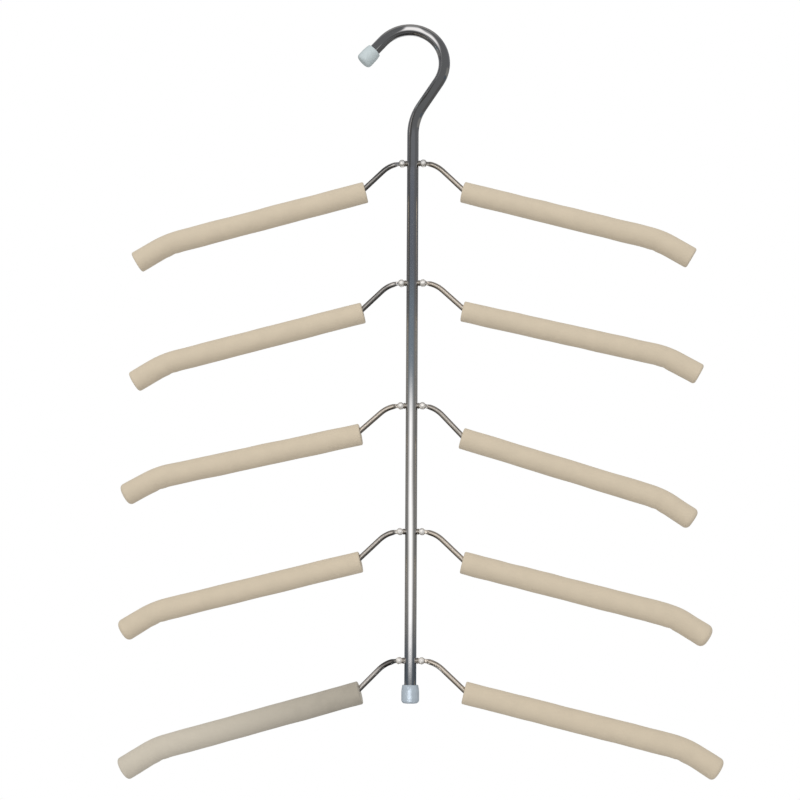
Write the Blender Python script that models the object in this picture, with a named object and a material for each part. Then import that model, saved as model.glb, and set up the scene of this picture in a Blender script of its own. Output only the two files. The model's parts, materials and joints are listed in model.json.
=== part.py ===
"""Folding five-tier hanger, built as separate pieces in Blender 4.5.

A bent tube makes the hook and the post. Five short rods cross the post, and both ends of each rod are forged
into a slotted head that holds one arm on a rivet. An arm is a wire that runs down from its flattened eye into
a foam sleeve. The arms lie on the floors of the slotted heads and fold up beside the post.

The origin is where the rail bears on the inside of the hook. +X is to the right of someone facing the hanger,
and +Z is up. The whole hanger lies in the XZ plane. Lengths are in metres.
"""

import math

import bmesh
import bpy
from mathutils import Matrix, Vector

MM = 0.001

# Tube of the hook and post
TUBE_RADIUS = 4.2 * MM
TUBE_WALL = 0.8 * MM
HOOK_RADIUS = 26.4 * MM
HOOK_SWEEP = math.radians(170.5)
HOOK_LIP = 20.5 * MM
NECK_RADIUS = 38.0 * MM
NECK_ANGLE = math.radians(33.5)
NECK_RUN = 22.5 * MM
NECK_TO_TIER = 22.5 * MM
POST_TAIL = 27.5 * MM

# Tiers of arms, counted from the top
TIER_COUNT = 5
TIER_PITCH = 90.0 * MM

# Gap between pieces that fit into one another, and the overrun of every cut
FIT_GAP = 0.3 * MM
OVERRUN = 1.0 * MM

# Soft caps on the two ends of the tube
CAP_LENGTH = 12.8 * MM
CAP_RADIUS = 6.2 * MM
CAP_MOUTH_RADIUS = 5.6 * MM
CAP_END_WALL = 1.6 * MM
CAP_CORNER = 2.4 * MM
CAP_BELLY_SHARE = 0.45

# Cross rods with their slotted heads
ROD_RADIUS = 1.9 * MM
STUB_LENGTH = 1.2 * MM
HEAD_RADIUS = 2.4 * MM
CHEEK_WALL = 1.1 * MM
FLOOR_WALL = 0.5 * MM
ARM_PLAY = 0.15 * MM

# Rivets
SHANK_RADIUS = 0.7 * MM
RIVET_RADIUS = 1.8 * MM
RIVET_RISE = 0.8 * MM
RIVET_CROWN_SHARE = 0.6

# Arm wires: flattened eye, shoulder bend, run down to the root bend inside the sleeve, knee and tip
WIRE_RADIUS = 1.9 * MM
TONGUE_THICKNESS = 1.5 * MM
TAPER_LENGTH = 3.0 * MM
SHOULDER_RADIUS = 20.7 * MM
SHOULDER_ANGLE = math.radians(43.5)
SHOULDER_RUN = 24.4 * MM
ROOT_RADIUS = 8.0 * MM
ARM_DROOP = math.radians(14.1)
ARM_RUN = 145.0 * MM
KNEE_RADIUS = 60.0 * MM
KNEE_ANGLE = math.radians(16.0)
TIP_RUN = 27.3 * MM
WIRE_SETBACK = 4.0 * MM

# Foam sleeves
SLEEVE_RADIUS = 7.85 * MM
SLEEVE_LEAD = 3.8 * MM
SLEEVE_EDGE = 1.6 * MM

# How far each arm strays from the nominal one, from the top tier down, left arm then right arm:
# the droop that its stop leaves it, the length of its straight run, its sleeve's reach up the wire, and the
# turn of its knee
DROOP_SHARES = ((1.02, 1.06), (1.01, 0.94), (0.85, 1.22), (0.98, 1.00), (1.11, 0.96))
RUN_SHARES = ((1.00, 0.986), (0.993, 0.996), (1.003, 0.987), (1.008, 1.021), (0.996, 1.05))
LEAD_SHARES = ((1.38, 0.77), (1.13, 0.97), (1.11, 0.74), (1.18, 0.93), (1.13, 0.71))
KNEE_SHARES = ((1.00, 1.00), (1.00, 1.00), (1.04, 1.05), (1.08, 1.15), (1.00, 1.18))

# Facets: sides of the round sections, and steps along the bends
TUBE_SIDES = 16
WIRE_SIDES = 12
CAP_SIDES = 16
RIVET_SIDES = 10
HEAD_SIDES = 20
NECK_STEPS = 5
HOOK_RISE_STEPS = 10
HOOK_FALL_STEPS = 4
CORNER_STEPS = 3
EYE_STEPS = 3
TONGUE_STEPS = 1
TAPER_STEPS = 2
SHOULDER_STEPS = 4
ROOT_STEPS = 3
KNEE_STEPS = 4

# Sizes that follow from the ones above
EYE_RADIUS = HEAD_RADIUS - FLOOR_WALL - FIT_GAP - ARM_PLAY
ROOT_ANGLE = SHOULDER_ANGLE - ARM_DROOP
TONGUE_LENGTH = HEAD_RADIUS + FIT_GAP
SLOT_WIDTH = TONGUE_THICKNESS + 2 * FIT_GAP
HEAD_THICKNESS = SLOT_WIDTH + 2 * CHEEK_WALL
PIVOT_OFFSET = TUBE_RADIUS + STUB_LENGTH + HEAD_RADIUS
PIN_HOLE_RADIUS = SHANK_RADIUS + FIT_GAP
BORE_RADIUS = WIRE_RADIUS + FIT_GAP

QUARTER_TURN = math.pi / 2
SHARP_ANGLE = math.radians(40)
ALONG_X = Matrix.Rotation(QUARTER_TURN, 4, "Y")
ALONG_Y = Matrix.Rotation(QUARTER_TURN, 4, "X")
ARM_SIDES = (("left", -1), ("right", 1))

# Colour, roughness and metallic value of each finish
CHROME = ("chrome", (0.62, 0.63, 0.65, 1.0), 0.12, 1.0)
STEEL = ("rivet_steel", (0.78, 0.77, 0.74, 1.0), 0.25, 1.0)
FOAM = ("foam", (0.66, 0.56, 0.42, 1.0), 0.95, 0.0)
VINYL = ("cap_vinyl", (0.62, 0.70, 0.75, 1.0), 0.35, 0.0)


class Route:
    """A line in the XZ plane of straight runs and bends, with its place, heading and distance at each stop."""

    def __init__(self, x, z, heading):
        self.x, self.z, self.heading, self.distance = x, z, heading, 0
        self.stops = []
        self.mark()

    def mark(self):
        """Keeps the present place as a stop."""
        self.stops.append((self.x, self.z, self.heading, self.distance))

    def ahead(self, length):
        """The place that lies straight ahead by a length, or behind where it is negative."""
        return self.x + length * math.cos(self.heading), self.z + length * math.sin(self.heading)

    def run(self, length):
        """Goes straight on."""
        self.x, self.z = self.ahead(length)
        self.distance += length
        self.mark()

    def bend(self, radius, angle, steps):
        """Turns by an angle, positive to the left, on an arc of the given radius."""
        turn = math.copysign(radius, angle)
        for _ in range(steps):
            after = self.heading + angle / steps
            self.x += turn * (math.sin(after) - math.sin(self.heading))
            self.z += turn * (math.cos(self.heading) - math.cos(after))
            self.heading = after
            self.distance += radius * abs(angle) / steps
            self.mark()

    def shift(self, x, z):
        """Moves the whole line."""
        self.stops = [(sx + x, sz + z, heading, far) for sx, sz, heading, far in self.stops]


def bend_setback(radius, angle):
    """What a bend takes off each of the two straight runs that meet in its corner."""
    return radius * math.tan(angle / 2)


def clear_scene():
    """Empties the scene of objects."""
    for thing in list(bpy.data.objects):
        bpy.data.objects.remove(thing, do_unlink=True)


def finish_material(finish):
    """The material of a finish, made on its first use."""
    name, colour, roughness, metallic = finish
    material = bpy.data.materials.get(name)
    if material is None:
        material = bpy.data.materials.new(name)
        material.use_nodes = True
        shader = material.node_tree.nodes["Principled BSDF"]
        shader.inputs["Base Color"].default_value = colour
        shader.inputs["Roughness"].default_value = roughness
        shader.inputs["Metallic"].default_value = metallic
    return material


def add_piece(name, mesh, finish, place=None, parent=None):
    """An object with its mesh, material and place, carried by a parent where it has one."""
    piece = bpy.data.objects.new(name, mesh)
    bpy.context.collection.objects.link(piece)
    if not mesh.materials:
        mesh.materials.append(finish_material(finish))
    piece.parent = parent
    if place is not None:
        piece.matrix_local = place
    return piece


def add_pivot(name, place):
    """An empty on a joint's axis, which carries what turns there."""
    pivot = bpy.data.objects.new(name, None)
    bpy.context.collection.objects.link(pivot)
    pivot.matrix_local = place
    return pivot


def shade_round(mesh):
    """Shades a mesh smooth and keeps its real edges sharp."""
    mesh.shade_smooth()
    mesh.set_sharp_from_angle(angle=SHARP_ANGLE)
    return mesh


def closed_mesh(name, bm):
    """Turns a bmesh into a smooth mesh whose faces point out."""
    bmesh.ops.recalc_face_normals(bm, faces=bm.faces)
    mesh = bpy.data.meshes.new(name)
    bm.to_mesh(mesh)
    bm.free()
    return shade_round(mesh)


def loft(bm, rings):
    """Faces between each ring of vertices and the next one."""
    for near, far in zip(rings, rings[1:]):
        for index in range(len(near)):
            after = (index + 1) % len(near)
            bm.faces.new((near[index], near[after], far[after], far[index]))


def section_ring(bm, stop, side, sides, radius, half_thickness=None, square_to=None):
    """The vertices of a round section at one stop of a line.

    side is -1 to mirror the section to the left. half_thickness limits its half size along Y, as a press does
    to a wire. square_to is the heading that the section is cut square to, where it isn't the line's own.
    """
    x, z, heading, _ = stop
    along = Vector((math.cos(heading), 0, math.sin(heading)))
    across = Vector((-math.sin(heading), 0, math.cos(heading)))
    cut = along if square_to is None else Vector((math.cos(square_to), 0, math.sin(square_to)))
    ring = []
    for index in range(sides):
        angle = 2 * math.pi * index / sides
        depth = radius * math.sin(angle)
        if half_thickness is not None:
            depth = max(-half_thickness, min(half_thickness, depth))
        offset = across * radius * math.cos(angle) + Vector((0, depth, 0))
        offset -= along * (offset.dot(cut) / along.dot(cut))
        ring.append(bm.verts.new((side * (x + offset.x), offset.y, z + offset.z)))
    return ring


def pipe_mesh(name, bm, outer, inner):
    """A closed pipe between the rings of its skin and the rings of its bore."""
    loft(bm, outer)
    loft(bm, inner)
    loft(bm, [outer[0], inner[0]])
    loft(bm, [outer[-1], inner[-1]])
    return closed_mesh(name, bm)


def lathe_mesh(name, profile, sides):
    """A closed solid turned about Z from (radius, height) points, the first and last of them on the axis."""
    bm = bmesh.new()
    rings = []
    for radius, height in profile[1:-1]:
        angles = [2 * math.pi * index / sides for index in range(sides)]
        rings.append([bm.verts.new((radius * math.cos(a), radius * math.sin(a), height)) for a in angles])
    loft(bm, rings)
    for ring, (_, height) in ((rings[0], profile[0]), (rings[-1], profile[-1])):
        pole = bm.verts.new((0, 0, height))
        for index in range(sides):
            bm.faces.new((ring[index], ring[(index + 1) % sides], pole))
    return closed_mesh(name, bm)


def cylinder_mesh(radius, length, sides, place):
    """A plain cylinder with its middle at the given place."""
    bm = bmesh.new()
    bmesh.ops.create_cone(
        bm, cap_ends=True, segments=sides, radius1=radius, radius2=radius, depth=length, matrix=place
    )
    return closed_mesh("cylinder", bm)


def box_mesh(low, high):
    """A plain box between its lowest and highest corners."""
    low, high = Vector(low), Vector(high)
    bm = bmesh.new()
    place = Matrix.Translation((low + high) / 2) @ Matrix.Diagonal((*(high - low), 1))
    bmesh.ops.create_cube(bm, size=1, matrix=place)
    return closed_mesh("box", bm)


def combined_mesh(mesh, steps):
    """A mesh after a list of Boolean steps, each an operation and the mesh that it works with."""
    base = bpy.data.objects.new("base", mesh)
    bpy.context.collection.objects.link(base)
    tools = []
    for operation, tool_mesh in steps:
        tool = bpy.data.objects.new("tool", tool_mesh)
        tool.hide_render = True
        tool.display_type = "WIRE"
        bpy.context.collection.objects.link(tool)
        modifier = base.modifiers.new(operation.lower(), "BOOLEAN")
        modifier.operation = operation
        modifier.solver = "EXACT"
        modifier.object = tool
        tools.append(tool)
    graph = bpy.context.evaluated_depsgraph_get()
    result = bpy.data.meshes.new_from_object(base.evaluated_get(graph))
    result.name = mesh.name
    for thing in (base, *tools):
        bpy.data.objects.remove(thing, do_unlink=True)
    return shade_round(result)


def tube_line():
    """The tube's centre line from the foot of the post to the lip of the hook, its crest over the origin."""
    line = Route(0, 0, QUARTER_TURN)
    line.run(POST_TAIL + (TIER_COUNT - 1) * TIER_PITCH + NECK_TO_TIER)
    line.bend(NECK_RADIUS, -NECK_ANGLE, NECK_STEPS)
    line.run(NECK_RUN)
    rise = QUARTER_TURN + NECK_ANGLE
    line.bend(HOOK_RADIUS, rise, HOOK_RISE_STEPS)
    crest_x, crest_z = line.x, line.z
    line.bend(HOOK_RADIUS, HOOK_SWEEP - rise, HOOK_FALL_STEPS)
    line.run(HOOK_LIP)
    line.shift(-crest_x, TUBE_RADIUS - crest_z)
    return line


def tier_places(line):
    """The middle of each cross rod on the post's axis, from the top tier down."""
    post_x, foot_z, _, _ = line.stops[0]
    return [
        Vector((post_x, 0, foot_z + POST_TAIL + (TIER_COUNT - 1 - tier) * TIER_PITCH))
        for tier in range(TIER_COUNT)
    ]


def build_hook_post(line, tiers):
    """The bent tube, bored across at each tier for its rod."""
    bm = bmesh.new()
    outer = [section_ring(bm, stop, 1, TUBE_SIDES, TUBE_RADIUS) for stop in line.stops]
    inner = [section_ring(bm, stop, 1, TUBE_SIDES, TUBE_RADIUS - TUBE_WALL) for stop in line.stops]
    tube = pipe_mesh("hook_post", bm, outer, inner)
    hole_length = 2 * (TUBE_RADIUS + OVERRUN)
    holes = [
        cylinder_mesh(ROD_RADIUS + FIT_GAP, hole_length, WIRE_SIDES, Matrix.Translation(place) @ ALONG_X)
        for place in tiers
    ]
    add_piece("hook_post", combined_mesh(tube, [("DIFFERENCE", hole) for hole in holes]), CHROME)


def build_caps(line):
    """The soft caps, pushed over the lip of the hook and the foot of the post."""
    inner_end = FIT_GAP
    outer_end = inner_end + CAP_END_WALL
    mouth = outer_end - CAP_LENGTH
    bore = TUBE_RADIUS + FIT_GAP
    profile = [(0, inner_end), (bore, inner_end), (bore, mouth), (CAP_MOUTH_RADIUS, mouth)]
    profile.append((CAP_RADIUS, mouth + CAP_BELLY_SHARE * CAP_LENGTH))
    for step in range(CORNER_STEPS + 1):
        angle = QUARTER_TURN * step / CORNER_STEPS
        radius = CAP_RADIUS - CAP_CORNER * (1 - math.cos(angle))
        profile.append((radius, outer_end - CAP_CORNER * (1 - math.sin(angle))))
    profile.append((0, outer_end))
    mesh = lathe_mesh("cap", profile, CAP_SIDES)
    foot_x, foot_z, foot_heading, _ = line.stops[0]
    lip_x, lip_z, lip_heading, _ = line.stops[-1]
    for name, x, z, outwards in (
        ("post_cap", foot_x, foot_z, foot_heading + math.pi),
        ("hook_cap", lip_x, lip_z, lip_heading),
    ):
        turn = Matrix.Rotation(QUARTER_TURN - outwards, 4, "Y")
        add_piece(name, mesh, VINYL, Matrix.Translation((x, 0, z)) @ turn)


def cross_rod_mesh():
    """A rod along X with a slotted and bored head at each end. Each slot is open above and keeps a floor."""
    rod = cylinder_mesh(ROD_RADIUS, 2 * (PIVOT_OFFSET - EYE_RADIUS), WIRE_SIDES, ALONG_X)
    rod.name = "cross_rod"
    heads, slots, holes = [], [], []
    slot_back = EYE_RADIUS + FIT_GAP
    slot_floor = slot_back + ARM_PLAY
    slot_reach = HEAD_RADIUS + OVERRUN
    half_slot = SLOT_WIDTH / 2
    for _, side in ARM_SIDES:
        pivot = side * PIVOT_OFFSET
        place = Matrix.Translation((pivot, 0, 0)) @ ALONG_Y
        heads.append(("UNION", cylinder_mesh(HEAD_RADIUS, HEAD_THICKNESS, HEAD_SIDES, place)))
        inner_x, outer_x = pivot - side * slot_back, pivot + side * slot_reach
        low = (min(inner_x, outer_x), -half_slot, -slot_floor)
        high = (max(inner_x, outer_x), half_slot, slot_reach)
        slots.append(("DIFFERENCE", box_mesh(low, high)))
        hole_length = HEAD_THICKNESS + 2 * OVERRUN
        holes.append(("DIFFERENCE", cylinder_mesh(PIN_HOLE_RADIUS, hole_length, RIVET_SIDES, place)))
    return combined_mesh(rod, heads + slots + holes)


def rivet_mesh():
    """A rivet along Z: a shank that crosses the slotted head, with a low dome at both ends."""
    seat = HEAD_THICKNESS / 2 + FIT_GAP
    crown = RIVET_CROWN_SHARE * RIVET_RADIUS
    shoulder = seat + RIVET_CROWN_SHARE * RIVET_RISE
    half = [(SHANK_RADIUS, seat), (RIVET_RADIUS, seat), (crown, shoulder), (0, seat + RIVET_RISE)]
    profile = [(radius, -height) for radius, height in reversed(half)] + half
    return lathe_mesh("rivet", profile, RIVET_SIDES)


def follow_arm(line, run, knee, setback):
    """Carries a line through the root bend, along the arm, over the knee and on to the tip."""
    knee_back = bend_setback(KNEE_RADIUS, knee)
    line.bend(ROOT_RADIUS, ROOT_ANGLE, ROOT_STEPS)
    line.run(run - bend_setback(ROOT_RADIUS, ROOT_ANGLE) - knee_back)
    line.bend(KNEE_RADIUS, -knee, KNEE_STEPS)
    line.run(TIP_RUN - knee_back - setback)


def wire_line(sag, run, knee):
    """The centre line of an arm's wire from its pivot, and the corner of its root bend.

    sag is how far the whole arm is turned down about its pivot from the nominal rest, and knee is how far the
    wire turns at its knee.
    """
    line = Route(0, 0, -sag)
    line.bend(SHOULDER_RADIUS, -TONGUE_LENGTH / SHOULDER_RADIUS, TONGUE_STEPS)
    line.bend(SHOULDER_RADIUS, -TAPER_LENGTH / SHOULDER_RADIUS, TAPER_STEPS)
    line.bend(SHOULDER_RADIUS, -SHOULDER_ANGLE - sag - line.heading, SHOULDER_STEPS)
    corner = line.ahead(SHOULDER_RUN)
    line.run(SHOULDER_RUN - bend_setback(ROOT_RADIUS, ROOT_ANGLE))
    follow_arm(line, run, knee, WIRE_SETBACK)
    return line, corner


def wire_mesh(name, line, side):
    """An arm's wire: a round bar pressed flat near its pivot, where it has an eye for the rivet."""
    bm = bmesh.new()
    half_tongue = TONGUE_THICKNESS / 2
    heading = line.stops[0][2]
    rings = []
    for step in range(EYE_STEPS):
        angle = QUARTER_TURN * (step + 1) / (EYE_STEPS + 1)
        stop = (*Route(0, 0, heading).ahead(-EYE_RADIUS * math.cos(angle)), heading, 0)
        rings.append(section_ring(bm, stop, side, WIRE_SIDES, EYE_RADIUS * math.sin(angle), half_tongue))
    for stop in line.stops:
        taper = min(1, max(0, (stop[-1] - TONGUE_LENGTH) / TAPER_LENGTH))
        radius = EYE_RADIUS + taper * (WIRE_RADIUS - EYE_RADIUS)
        half = half_tongue + taper * (WIRE_RADIUS - half_tongue)
        rings.append(section_ring(bm, stop, side, WIRE_SIDES, radius, half))
    loft(bm, rings)
    bm.faces.new(rings[0])
    bm.faces.new(rings[-1])
    bar = closed_mesh(name, bm)
    eye = cylinder_mesh(PIN_HOLE_RADIUS, TONGUE_THICKNESS + 2 * OVERRUN, RIVET_SIDES, ALONG_Y)
    return combined_mesh(bar, [("DIFFERENCE", eye)])


def sleeve_mesh(name, corner, sag, run, lead, knee, side):
    """A foam sleeve: it starts up the wire from the root bend's corner, and its bore follows the wire."""
    knee_back = bend_setback(KNEE_RADIUS, knee)
    droop = ARM_DROOP + sag
    skin = Route(*Route(*corner, -droop).ahead(-lead), -droop)
    skin.run(SLEEVE_EDGE)
    skin.run(lead + run - knee_back - SLEEVE_EDGE)
    skin.bend(KNEE_RADIUS, -knee, KNEE_STEPS)
    skin.run(TIP_RUN - knee_back - SLEEVE_EDGE)
    skin.run(SLEEVE_EDGE)
    climb = lead / math.cos(ROOT_ANGLE)
    steep = -SHOULDER_ANGLE - sag
    bore = Route(*Route(*corner, steep).ahead(-climb), steep)
    bore.run(climb - bend_setback(ROOT_RADIUS, ROOT_ANGLE))
    follow_arm(bore, run, knee, 0)
    bm = bmesh.new()
    edge_radius = SLEEVE_RADIUS - SLEEVE_EDGE
    radii = [edge_radius] + [SLEEVE_RADIUS] * (len(skin.stops) - 2) + [edge_radius]
    outer = [section_ring(bm, stop, side, WIRE_SIDES, r) for stop, r in zip(skin.stops, radii)]
    inner = [section_ring(bm, bore.stops[0], side, WIRE_SIDES, BORE_RADIUS, square_to=-droop)]
    inner += [section_ring(bm, stop, side, WIRE_SIDES, BORE_RADIUS) for stop in bore.stops[1:]]
    return pipe_mesh(name, bm, outer, inner)


def build_tier(number, place, rod, rivet):
    """One tier: its cross rod, and on each side the rivet, the wire and the foam sleeve."""
    add_piece(f"cross_rod_{number}", rod, CHROME, Matrix.Translation(place))
    for column, (word, side) in enumerate(ARM_SIDES):
        pivot_place = Matrix.Translation(place + Vector((side * PIVOT_OFFSET, 0, 0)))
        add_piece(f"rivet_{word}_{number}", rivet, STEEL, pivot_place @ ALONG_Y)
        pivot = add_pivot(f"pivot_{word}_{number}", pivot_place)
        sag = ARM_DROOP * (DROOP_SHARES[number - 1][column] - 1)
        run = ARM_RUN * RUN_SHARES[number - 1][column]
        lead = SLEEVE_LEAD * LEAD_SHARES[number - 1][column]
        knee = KNEE_ANGLE * KNEE_SHARES[number - 1][column]
        line, corner = wire_line(sag, run, knee)
        wire_name, sleeve_name = f"wire_{word}_{number}", f"sleeve_{word}_{number}"
        add_piece(wire_name, wire_mesh(wire_name, line, side), CHROME, parent=pivot)
        sleeve = sleeve_mesh(sleeve_name, corner, sag, run, lead, knee, side)
        add_piece(sleeve_name, sleeve, FOAM, parent=pivot)


def main():
    """Builds the hanger from the hook down."""
    clear_scene()
    line = tube_line()
    tiers = tier_places(line)
    build_hook_post(line, tiers)
    build_caps(line)
    rod, rivet = cross_rod_mesh(), rivet_mesh()
    for number, place in enumerate(tiers, start=1):
        build_tier(number, place, rod, rivet)


main()
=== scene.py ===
"""Dressed scene of a folding five-tier hanger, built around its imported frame.

A bent chromed tube is hook and post in one. Five rods cross the post, and both ends of each rod are forged
into a slotted head. An arm is a wire that turns on a rivet in such a head and carries a foam sleeve. Lengths
are in metres and angles in radians unless a name says degrees. +X is to the right of someone facing the
hanger, and +Z is up. The hanger lies in the XZ plane.
"""

import json
import logging
import math
from dataclasses import dataclass
from enum import Enum

import bmesh
import bpy
import numpy as np
from mathutils import Matrix, Vector


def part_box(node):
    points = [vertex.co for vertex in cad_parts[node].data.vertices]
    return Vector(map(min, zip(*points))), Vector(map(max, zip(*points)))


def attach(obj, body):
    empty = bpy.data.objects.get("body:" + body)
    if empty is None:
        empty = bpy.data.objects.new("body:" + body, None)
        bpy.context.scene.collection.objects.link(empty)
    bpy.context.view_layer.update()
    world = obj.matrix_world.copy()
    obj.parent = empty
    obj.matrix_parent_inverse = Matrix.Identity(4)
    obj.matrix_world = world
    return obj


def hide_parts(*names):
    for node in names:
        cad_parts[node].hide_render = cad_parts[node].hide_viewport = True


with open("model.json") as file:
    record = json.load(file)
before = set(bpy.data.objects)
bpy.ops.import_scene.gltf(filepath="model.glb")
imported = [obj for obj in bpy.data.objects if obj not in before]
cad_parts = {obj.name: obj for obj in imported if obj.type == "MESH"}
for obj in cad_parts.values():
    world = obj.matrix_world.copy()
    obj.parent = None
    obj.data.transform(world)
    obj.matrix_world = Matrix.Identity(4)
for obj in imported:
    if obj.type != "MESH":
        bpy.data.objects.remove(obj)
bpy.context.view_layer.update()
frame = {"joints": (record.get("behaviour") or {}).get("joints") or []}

log = logging.getLogger("hanger")

MM = 0.001
QUARTER_TURN = math.pi / 2
SMOOTH_LIMIT = math.radians(35)
MERGE_DISTANCE = 0.001 * MM
STATION_GAP = 0.1 * MM
EASING_SAMPLES = 21
RIM_STEPS = 6
NOISE_RANGE = (0.3, 0.7)
ACROSS = Vector((1, 0, 0))
DEPTH = Vector((0, 1, 0))
POST_BODY = "hook_and_post"


class Side(Enum):
    """The side of the post that an arm is on, with the sign of its X."""

    LEFT = -1
    RIGHT = 1

    @property
    def word(self) -> str:
        """The side's word in the names of pieces."""
        return self.name.lower()


class Slot(Enum):
    """The record's material slots."""

    CHROME = "chrome"
    STEEL = "rivet_steel"
    FOAM = "foam"
    VINYL = "cap_vinyl"


class Cut(Enum):
    """What a Boolean step does with its tool."""

    UNION = "UNION"
    DIFFERENCE = "DIFFERENCE"


# Lines in the plane of the hanger


@dataclass(frozen=True)
class Stretch:
    """A part of a line: straight, or a bend of one radius where it turns (to the left where positive)."""

    length: float
    turn: float = 0.0


def bend(radius: float, turn: float) -> Stretch:
    """A bend of a given radius through an angle."""
    return Stretch(radius * abs(turn), turn)


def bend_setback(radius: float, turn: float) -> float:
    """What a bend takes off each of the two straight runs that meet in its corner."""
    return radius * math.tan(abs(turn) / 2)


@dataclass(frozen=True)
class Line:
    """A line in the XZ plane, as arrays of distance, heading and place at its stations."""

    distance: np.ndarray
    heading: np.ndarray
    x: np.ndarray
    z: np.ndarray

    @property
    def length(self) -> float:
        """The whole length of the line."""
        return float(self.distance[-1])

    @property
    def end(self) -> tuple[float, float]:
        """The place of the line's last station."""
        return float(self.x[-1]), float(self.z[-1])

    def at(self, stations: np.ndarray) -> "Line":
        """The same line at other distances, read off between its own stations.

        Args:
            stations: distances from the line's start.

        Returns:
            The line with those stations.
        """
        heading = np.interp(stations, self.distance, self.heading)
        x = np.interp(stations, self.distance, self.x)
        z = np.interp(stations, self.distance, self.z)
        return Line(stations, heading, x, z)


def trace(start: tuple[float, float], heading: float, stretches: list[Stretch], easing: float) -> Line:
    """Works out a line from its stretches, with every change of curvature eased.

    The heading of the plain line changes evenly along each stretch. The eased heading is its mean over a
    window of +-easing with weights 1 + cos(pi * offset / easing), as a bar takes a bend. The place is the
    running sum of gap * (cos h, sin h), where h is the mean of the headings at the two ends of a gap.

    Args:
        start: X and Z of the start.
        heading: the first heading, 0 along +X and a quarter turn along +Z.
        stretches: the line's parts, in order.
        easing: half the length over which a change of curvature is spread.

    Returns:
        The line, its stations STATION_GAP apart.
    """
    stops = np.cumsum([0.0] + [part.length for part in stretches])
    turns = heading + np.cumsum([0.0] + [part.turn for part in stretches])
    distance = np.linspace(0.0, stops[-1], int(stops[-1] / STATION_GAP) + 2)
    offsets = np.linspace(-easing, easing, EASING_SAMPLES)[:, None]
    weights = 1 + np.cos(np.pi * offsets / easing)
    plain = np.interp(distance + offsets, stops, turns)
    eased = (weights * plain).sum(axis=0) / weights.sum()
    middle = (eased[1:] + eased[:-1]) / 2
    gaps = np.diff(distance)
    x = start[0] + np.concatenate([[0.0], np.cumsum(np.cos(middle) * gaps)])
    z = start[1] + np.concatenate([[0.0], np.cumsum(np.sin(middle) * gaps)])
    return Line(distance, eased, x, z)


def rows_along(length: float, step: float, edges: tuple[float, float], edge_rows: int = 6) -> np.ndarray:
    """Distances of a grid's rows, even along the line and closer on the rounded edges at its two ends.

    Row k of n on an edge lies at edge * (1 - cos(k/n * 90 degrees)), even round the edge's quarter circle.

    Args:
        length: the line's length.
        step: the most that two rows of the middle part are apart.
        edges: the radius of the rounded edge at the start and at the end.
        edge_rows: the number of steps on each edge.

    Returns:
        The distances, from 0 to the length.
    """
    share = 1 - np.cos(np.linspace(0, QUARTER_TURN, edge_rows + 1))
    middle = np.linspace(edges[0], length - edges[1], int((length - sum(edges)) / step) + 2)
    return np.concatenate([edges[0] * share, middle[1:-1], length - edges[1] * share[::-1]])


def edge_drop(inward: np.ndarray, edge: float) -> np.ndarray:
    """How far a rounded edge lies inside the full radius: edge - sqrt(edge^2 - (edge - inward)^2)."""
    held = np.clip(inward, 0, edge)
    return edge - np.sqrt(np.maximum(edge**2 - (edge - held) ** 2, 0))


def rounded(distance: np.ndarray, length: float, edges: tuple[float, float]) -> np.ndarray:
    """What the rounded edges at the start and at the end of a line take off a radius."""
    return edge_drop(distance, edges[0]) + edge_drop(length - distance, edges[1])


def smooth_step(value: np.ndarray) -> np.ndarray:
    """3t^2 - 2t^3 of the value held between 0 and 1."""
    held = np.clip(value, 0, 1)
    return held * held * (3 - 2 * held)


# Surfaces as grids of points


def circle_angles(columns: int) -> np.ndarray:
    """The angles of a section's columns, as one row."""
    return np.linspace(0, 2 * np.pi, columns, endpoint=False)[None, :]


def sweep(
    line: Line, across: np.ndarray, depth: np.ndarray, side: Side, ahead: np.ndarray | float = 0.0
) -> np.ndarray:
    """Carries a section along a line.

    A point is the station's place, plus across times the normal (-sin h, cos h) of the heading h in the XZ
    plane, plus ahead times the direction (cos h, sin h), with depth as its Y. X is mirrored on the left side.

    Args:
        line: the line, with a station for each row.
        across: the section's offset in the plane, by row and column.
        depth: the section's offset along Y, by row and column.
        side: the side that the line is mirrored to.
        ahead: an offset along the line, by row and column.

    Returns:
        The points, as rows x columns x 3.
    """
    sine, cosine = np.sin(line.heading)[:, None], np.cos(line.heading)[:, None]
    x = line.x[:, None] - across * sine + ahead * cosine
    z = line.z[:, None] + across * cosine + ahead * sine
    return np.stack(np.broadcast_arrays(side.value * x, depth, z), axis=-1)


def revolve(profile: np.ndarray, origin: Vector, axis: Vector, columns: int) -> np.ndarray:
    """Turns a profile about an axis.

    A point is origin + height * axis + radius * (cos a * first + sin a * second), where first and second are
    square to the axis and to each other.

    Args:
        profile: rows of (radius, height).
        origin: where height 0 lies on the axis.
        axis: the direction of height.
        columns: the number of columns round the axis.

    Returns:
        The points, as rows x columns x 3.
    """
    along = axis.normalized()
    first = along.orthogonal().normalized()
    second = along.cross(first)
    angle = circle_angles(columns)[..., None]
    radius, height = profile[:, 0, None, None], profile[:, 1, None, None]
    spoke = np.cos(angle) * np.array(first) + np.sin(angle) * np.array(second)
    return np.array(origin) + height * np.array(along) + radius * spoke


def arc_profile(
    centre: tuple[float, float], radius: float, start: float, stop: float, steps: int
) -> np.ndarray:
    """Rows of (radius, height) on a circular arc, from one angle to another in degrees.

    Args:
        centre: the arc's centre in (radius, height).
        radius: the arc's radius.
        start: the first angle, 0 towards greater radius and 90 towards greater height.
        stop: the last angle.
        steps: the number of steps.

    Returns:
        The rows: centre + radius * (cos a, sin a).
    """
    angle = np.radians(np.linspace(start, stop, steps + 1))
    return np.stack([centre[0] + radius * np.cos(angle), centre[1] + radius * np.sin(angle)], axis=1)


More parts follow.
